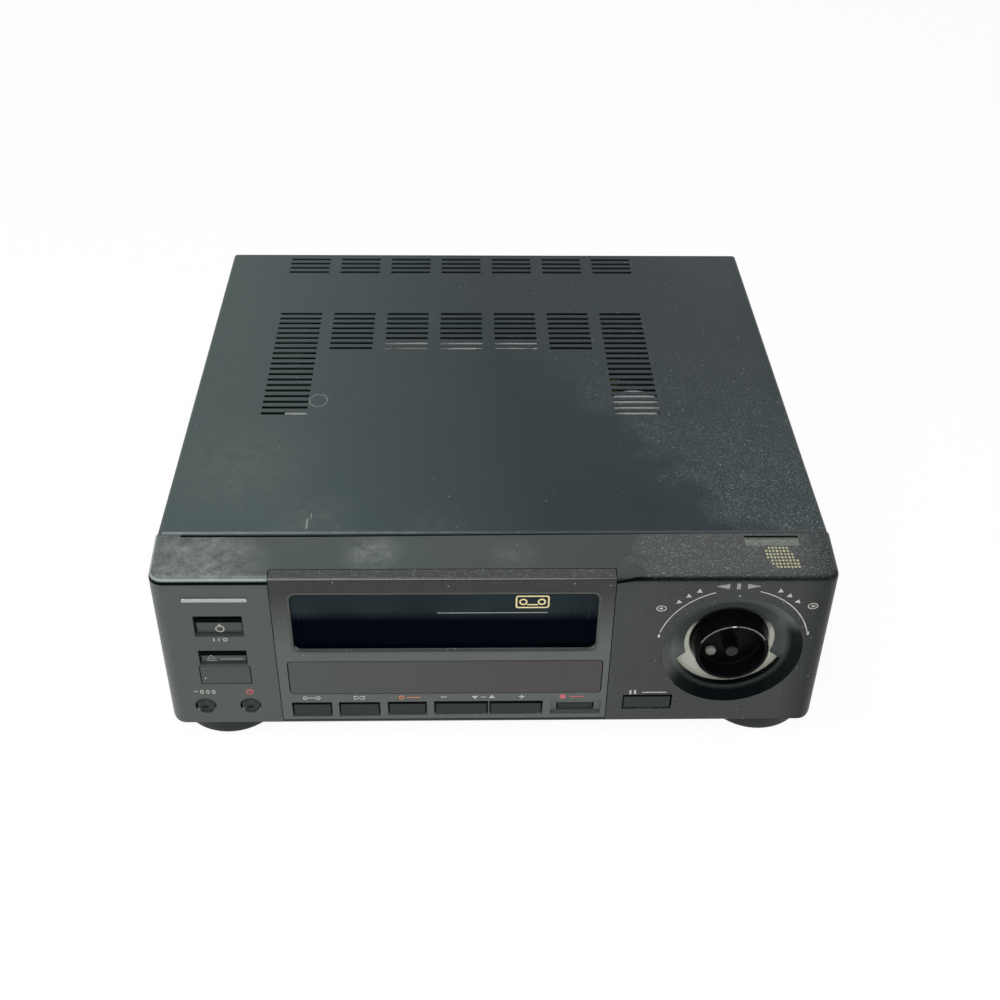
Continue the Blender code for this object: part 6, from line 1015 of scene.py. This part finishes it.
def on_slope(middle):
    """True for the faces of the dish between its rim and its mouth."""
    away = Vector((middle.x - DIAL.x, 0, middle.z - DIAL.z)).length / MM
    deep_in = (middle.y - panel_low.y) / MM
    return 14.5 < away < 23.9 and 0.05 < deep_in < 5.5


panel.data.materials.append(DISH_SLOPE)
pick(panel, "FACE", on_slope)
panel.active_material_index = 1
bpy.ops.object.material_slot_assign()
bpy.ops.object.mode_set(mode="OBJECT")
# Painted shade: a thin black line along the dish's rim at the left.
rim_shade_lines = [rim_arc("rim_shade_line", 23.35, 163, 180, 0.35), rim_arc("rim_shade_line", 23.35, -180, -140, 0.45)]
done(joined("dish_rim_shade_line", rim_shade_lines), MATT_BLACK, "case")
print("faces on the slope:", sum(face.material_index == 1 for face in panel.data.polygons))

# %% [markdown]
# ## Bezels and frames
# A narrow bright frame runs round the cassette window, where the moulding turns in towards the flap.

# %% Window bezel
BEZEL_EDGE = finish("worn_bezel_polystyrene", "#2F312F", "#3E403D", 0.34, patch_mm=4.0, gloss=0.4)
bezel_size = (101.6, 26.8)
bezel = bar(-16.6, 46.7, bezel_size, back=0.1, thick=0.62, hollow=0.8, corner=2.6, name="window_bezel")
done(bezel, BEZEL_EDGE, "case", edge=0.22)
print("bezel:", bezel_size, "mm")

# %% [markdown]
# ## Marks
# Plain symbols of the kind that any such machine carries say what a key does: a ring and bar for power, a
# triangle over a bar for eject, zeros for the counter, a clock for the timers, minus and plus, a red disc,
# two bars, and arrows. They are printed, so each is a flat form a few hundredths of a millimetre thick.


# %% Printed symbols
def ink_on(pieces, name, material, body="case"):
    """Joins printed forms and gives them their ink."""
    return done(joined(name, pieces), material, body, smooth=20)


def face_of(node):
    """How far back a key's face lies, in millimetres, with a hair's breadth in front of it."""
    return (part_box(node)[0].y - panel_low.y) / MM - 0.01


def dot(across, up):
    """A printed dot."""
    return flat("dot", 12, across, up, (0.6, 0.6))


on_key = {"back": face_of("power_button")}
power = [ring(-90.4, 43.0, (3.0, 3.0), 0.35, 28, **on_key), bar(-90.4, 44.5, (0.4, 1.5), back=on_key["back"] - 0.01)]
ink_on(power, "power_symbol", PALE_INK, "power_button_key")
on_key = {"back": face_of("eject_button")}
eject = [arrow(-94.6, 30.3, (3.2, 1.8), hollow=0.25, **on_key)]
eject += [bar(-94.6, 28.9, (3.2, 0.4), **on_key), bar(-88.0, 29.6, (7.6, 0.35), **on_key)]
ink_on(eject, "eject_symbol", DIM_INK, "eject_button_key")
pale = [bar(-92.6, 39.4, (0.35, 1.5)), bar(-90.9, 39.4, (0.3, 1.9), 0.35), ring(-88.9, 39.4, (1.5, 1.5), 0.28, 20)]
pale += [dot(-97.4, 21.6), bar(-101.4, 15.2, (1.4, 0.3)), dot(79.1, 57.8)]
pale += [ring(-99.4 + 2.0 * place, 15.0, (1.2, 1.9), sides=20) for place in range(3)]
ink_on(pale, "control_symbols", PALE_INK)
clock = [ring(-83.2, 14.9, (2.6, 2.6), 0.32), bar(-83.2, 15.3, (0.3, 1.0), back=-0.01)]
clock.append(bar(-82.8, 14.9, (0.8, 0.3), back=-0.01))
ink_on(clock, "quick_timer_symbol", RED_INK)

ROW = 12.0
on_fascia = {"back": face_of("fascia")}
over = {"back": face_of("fascia") - 0.01}
row = [ring(across, ROW, (1.6, 1.6), sides=20, **on_fascia) for across in (-64.6, -60.2)]
row += [bar(across, ROW, (2.2, 1.6), hollow=0.28, **on_fascia) for across in (-46.9, -45.4)]
row += [bar(across, ROW, (wide, 0.3), **on_fascia) for across, wide in ((-62.4, 2.8), (-3.7, 2.0))]
row += [bar(across, ROW + 0.1, (1.9, 0.4), **on_fascia) for across in (-17.3, 9.4)]
row += [bar(9.4, ROW + 0.1, (0.4, 1.9), **over), arrow(-6.6, ROW, (2.2, 1.5), math.pi, **on_fascia)]
row.append(arrow(-0.8, ROW, (2.2, 1.5), **on_fascia))
ink_on(row, "fascia_symbols", PALE_INK)
timer = [ring(-31.7, ROW, (1.9, 1.9), **on_fascia), bar(-31.7, ROW + 0.3, (0.25, 0.7), **over)]
timer.append(bar(-27.6, ROW, (4.6, 0.35), **on_fascia))
ink_on(timer, "timer_symbol", ORANGE_INK)
record = [flat("disc", 24, 23.5, ROW, (2.1, 2.1), **on_fascia), bar(28.3, ROW, (4.6, 0.4), **on_fascia)]
ink_on(record, "record_symbol", RED_INK)
print("symbols on keys, fascia and control column")

# %% Marks round the dial
ARC_ACROSS, ARC_UP = 79.0, 35.1
marks = [arc("arc", ARC_ACROSS, ARC_UP, 25.2, first, last, 0.34) for first, last in ((106.5, 168.0), (13.0, 75.5))]
marks += [bar(54.3, 40.1, (0.9, 1.7), 0.3), bar(103.9, 41.0, (0.9, 1.7), -0.3)]
marks += [bar(across, 13.6, (0.7, 1.9)) for across in (46.8, 48.4)] + [bar(55.0, 13.5, (8.4, 0.4))]
marks += [ring(across, up, (3.4, 2.6)) for across, up in ((54.1, 52.4), (103.7, 53.2))]
marks += [arrow(54.0, 52.4, (1.5, 1.1), -math.pi / 2), arrow(103.8, 53.2, (1.5, 1.1), math.pi / 2)]
for sign in (-1, 1):
    for lean in (28, 36, 44):
        angle = math.radians(90 - sign * lean)
        at = (ARC_ACROSS + 28.0 * math.cos(angle), ARC_UP + 28.0 * math.sin(angle))
        marks.append(arrow(*at, (1.9, 1.7), sign * math.radians(90 + lean)))
ink_on(marks, "dial_symbols", PALE_INK)
over_dial = [arrow(across, 61.9, (4.5, 2.2), turn * math.pi / 2) for across, turn in ((73.9, -1), (82.7, 1))]
ink_on(over_dial + [bar(78.3, 61.9, (1.2, 2.4))], "top_symbols", DIM_INK)
print("dial marks:", len(marks))

# %% [markdown]
# A small gold outline of a cassette stands in the window's upper right, over a fine rule, and faint upright
# lines near the window's ends are painted glints of the guide posts behind it. A slim nickel bar dresses the
# upper left of the panel. On the panel's top a patch of gold dots and a worn strip mark the label recess above
# the dial.

# %% Gold outline, guide posts, nickel bar, dots and strip
on_door = {"back": face_of("cassette_door")}
picture = [bar(12.0, 54.4, (11.0, 5.4), hollow=0.5, corner=0.9, **on_door), bar(12.0, 53.2, (3.6, 0.45), **on_door)]
picture += [ring(across, 54.4, (2.7, 2.7), 0.5, **on_door) for across in (9.0, 15.0)]
ink_on(picture, "cassette_picture", GOLD_INK, "cassette_flap")
posts = ((-64.2, 11.0), (-62.4, 10.0), (-59.4, 8.0), (26.2, 8.0), (30.6, 11.0))
posts = [bar(across, 52.8, (0.35, high), thick=0.01, **on_door) for across, high in posts]
ink_on(posts, "guide_post_glints", POST_GLINT, "cassette_flap")
ink_on([bar(-1.0, 49.7, (36.0, 0.35), **on_door)], "window_rule", DIM_INK, "cassette_flap")
NICKEL = finish("brushed_nickel_plate", "#9C9E9F", "#C4C6C7", 0.28, 1.0, patch_mm=0.3, stretch=(0.04, 1, 1))
nickel_bar = bar(-90.6, 57.0, (21.0, 1.5), back=0.1, thick=0.6, corner=0.3, name="nickel_bar")
done(nickel_bar, NICKEL, "case", edge=0.2)
dots = []
for line, (first, count) in enumerate(((1.2, 6), (0.0, 7), (0.0, 8), (0.0, 8), (1.2, 8), (1.2, 8), (2.4, 7))):
    for column in range(count):
        across, back = 88.9 + first + 1.18 * column, 14.6 - 1.6 * line
        dots.append(flat("dot", 6, across, TOP, (0.74, 1.05), back=back, thick=0.03, plane="up"))
ink_on(dots, "gold_dots", DOT_INK)
LABEL = finish("worn_label_film", "#060808", "#868A84", 0.55, patch_mm=1.1, gloss=0.12)
strip = bar(91.75, 65.3, (18.0, 3.8), back=17.75, thick=0.35, plane="up", name="label_strip")
done(strip, LABEL, "case")
# Painted shadow: a black strip in the gap behind the label strip.
done(bar(91.75, TOP, (18.2, 0.8), back=20.5, name="label_gap", **FILM), GAP_BLACK, "case")
print("gold dots:", len(dots))

# %% [markdown]
# ## Rear, sides and underside
# The photograph doesn't show these, so they follow what such machines have: phono jacks with nickel sleeves
# and a colour for each channel, threaded aerial sockets, thin printed frames, and cross-recessed screws.

# %% Jacks and aerial sockets
YELLOW_PP = finish("yellow_polypropylene", "#C9A31E", "#D2AC28", 0.42, patch_mm=1.5)
WHITE_PP = finish("white_polypropylene", "#D5D5CF", "#DDDDD8", 0.42, patch_mm=1.5)
RED_PP = finish("red_polypropylene", "#A32420", "#AC2B26", 0.42, patch_mm=1.5)
SLEEVE = ((4.25, -5.7), (4.5, -5.7), (4.5, -0.05), (4.3, 0.25), (3.6, 0.25), (3.6, 0.05), (4.25, 0.05), (4.25, -5.7))
COLLAR = ((3.55, 0.02), (3.55, 0.2), (3.3, 0.35), (2.3, 0.35), (2.05, 0.1), (2.05, 0.02), (3.55, 0.02))
CORE = ((3.38, -6.9), (3.38, -5.2), (0.9, -5.2), (0.7, -5.6))
for column, (across, colour) in enumerate(((-24, YELLOW_PP), (-40, WHITE_PP), (-56, RED_PP))):
    for line, up in enumerate((13, 25)):
        jack_at = spot(across, 224, up)
        done(turned(f"jack_sleeve_{column}_{line}", jack_at, "back", SLEEVE, sides=40), NICKEL, "case")
        done(turned(f"jack_collar_{column}_{line}", jack_at, "back", COLLAR, sides=40), colour, "case")
thread = [(4.6, -8.7)]
for step in range(16):
    thread += [(4.72, -8.65 + 0.5 * step), (5.0, -8.4 + 0.5 * step)]
thread += [(4.6, -0.1), (4.6, -8.7)]
low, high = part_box("tuner_can")
for line, up in enumerate((17.0, 36.0)):
    socket_at = Vector(((low.x + high.x) / 2, high.y, height(up)))
    done(turned(f"aerial_thread_{line}", socket_at, "back", thread, sides=40), NICKEL, "case", smooth=20)
    done(turned(f"aerial_core_{line}", socket_at, "back", CORE, sides=32), NYLON, "case")
print("jacks: 6, aerial sockets: 2")

# %% Seam gasket and printed frames
gasket = bar(0.0, 2.2, (218.0, 2.4), back=216.7, thick=1.2, name="rear_seam_gasket")
done(gasket, RUBBER, "case", edge=0.2)
REAR = {"back": 218.0, "thick": 0.03, "plane": "back"}
rear = [
    bar(across, up, size, hollow=0.35, corner=corner, **REAR)
    for across, up, size, corner in ((-40, 19, (50, 27), 1.5), (-92, 26.5, (20, 36), 1.5), (-2, 20, (11, 9), 1.0))
]
rear += [arrow(-65.5, up, (2.4, 1.8), turn, **REAR) for up, turn in ((25, math.pi), (13, 0.0))]
ink_on(rear, "rear_symbols", PALE_INK)
print("printed frames and arrows:", len(rear))

# %% [markdown]
# A screw is a domed disc with two bars cut out of it in a cross. One is made for each way that a screw faces,
# and it is then repeated at the other places of that kind.

# %% Screws
SCREW_STEEL = finish("black_zinc_screw_steel", "#3A3B3E", "#4C4D50", 0.36, 0.9, patch_mm=0.8)
SCREW_RINGS = ((2.9, -0.3), (2.9, 0.2), (2.65, 0.6), (2.0, 0.9), (1.1, 1.0))


def screws(kind, facing, places):
    """Pan-head screws with a cross recess, which stand on a surface at several places."""
    centre = spot(*places[0])
    piece = turned(f"screw_{kind}_0", centre, facing, SCREW_RINGS, sides=24)
    turn = FACINGS[facing].to_matrix()
    for bar_size in ((3.2, 0.6, 1.5), (0.6, 3.2, 1.5)):
        size = [abs(part) * MM for part in turn @ Vector(bar_size)]
        middle = centre + turn @ Vector((0, 0, 1.0)) * MM
        recess = start(bpy.ops.mesh.primitive_cube_add, "recess_bar", size=1, location=middle, scale=size)
        cut_to(piece, recess, "DIFFERENCE")
    done(piece, SCREW_STEEL, "case")
    for number, place in enumerate(places[1:], 1):
        repeat(piece, f"screw_{kind}_{number}", [there - here for there, here in zip(place, places[0])], "case")
    return len(places)


made = screws("left", "left", ((-111.7, 60, 14), (-111.7, 180, 14)))
made += screws("right", "right", ((111.7, 60, 14), (111.7, 180, 14)))
made += screws("back", "back", ((-104, 218, 59), (0, 218, 59), (104, 218, 59), (62, 218, 7), (-10, 218, 7)))
made += screws("down", "down", ((-60, 60, 0), (60, 60, 0), (-60, 170, 0), (60, 170, 0)))
made += screws("foot", "down", [(across, back, -0.3 - (tall - 2.2)) for across, back in feet_at])
print("screws:", made)

# %% [markdown]
# ## Frame pieces that stay
# The pieces inside and at the rear have their right shape already, so they only change their finish.

# %% Finish what stays
REAR_STEEL = satin("coated_rear_steel", ("#2A2E2E", "#303434"), 0.42, gloss=0.3)
finishes = {
    MATT_BLACK: ("encoder_housing", "slot_guide", "jack_block", "ac_inlet", "output_switch"),
    RUBBER: ("idler_wheel", "pinch_roller"),
    ZINC_STEEL: ("cassette_basket", "lift_motor", "deck_plate", "idler_arm", "pinch_arm", "ring_motor"),
    GALVANISED: ("base_pan",),
    REAR_STEEL: ("rear_panel",),
    TINPLATE: ("head_amp_can",),
    DULL_TIN: ("tuner_can",),
    PLATED_SHEET: ("mechanism_bridge", "lift_plate_left", "lift_plate_right"),
    CAN_SLEEVE: ("filter_capacitor",),
    TURNED_ALUMINIUM: ("lower_drum", "upper_drum", "capstan", "heat_sink"),
    NYLON: ("lift_pinion", "supply_reel", "takeup_reel", "loading_ring", "ring_pinion"),
    LAMINATE: ("front_board", "shuttle_board", "main_board", "power_board"),
    FERRITE: ("power_transformer",),
    TUBE_GLASS: ("display_tube",),
}
for material, nodes in finishes.items():
    for node in nodes:
        mesh = frame["nodes"][node].data
        mesh.materials.clear()
        mesh.materials.append(material)
print("carried over:", sum(len(nodes) for nodes in finishes.values()))
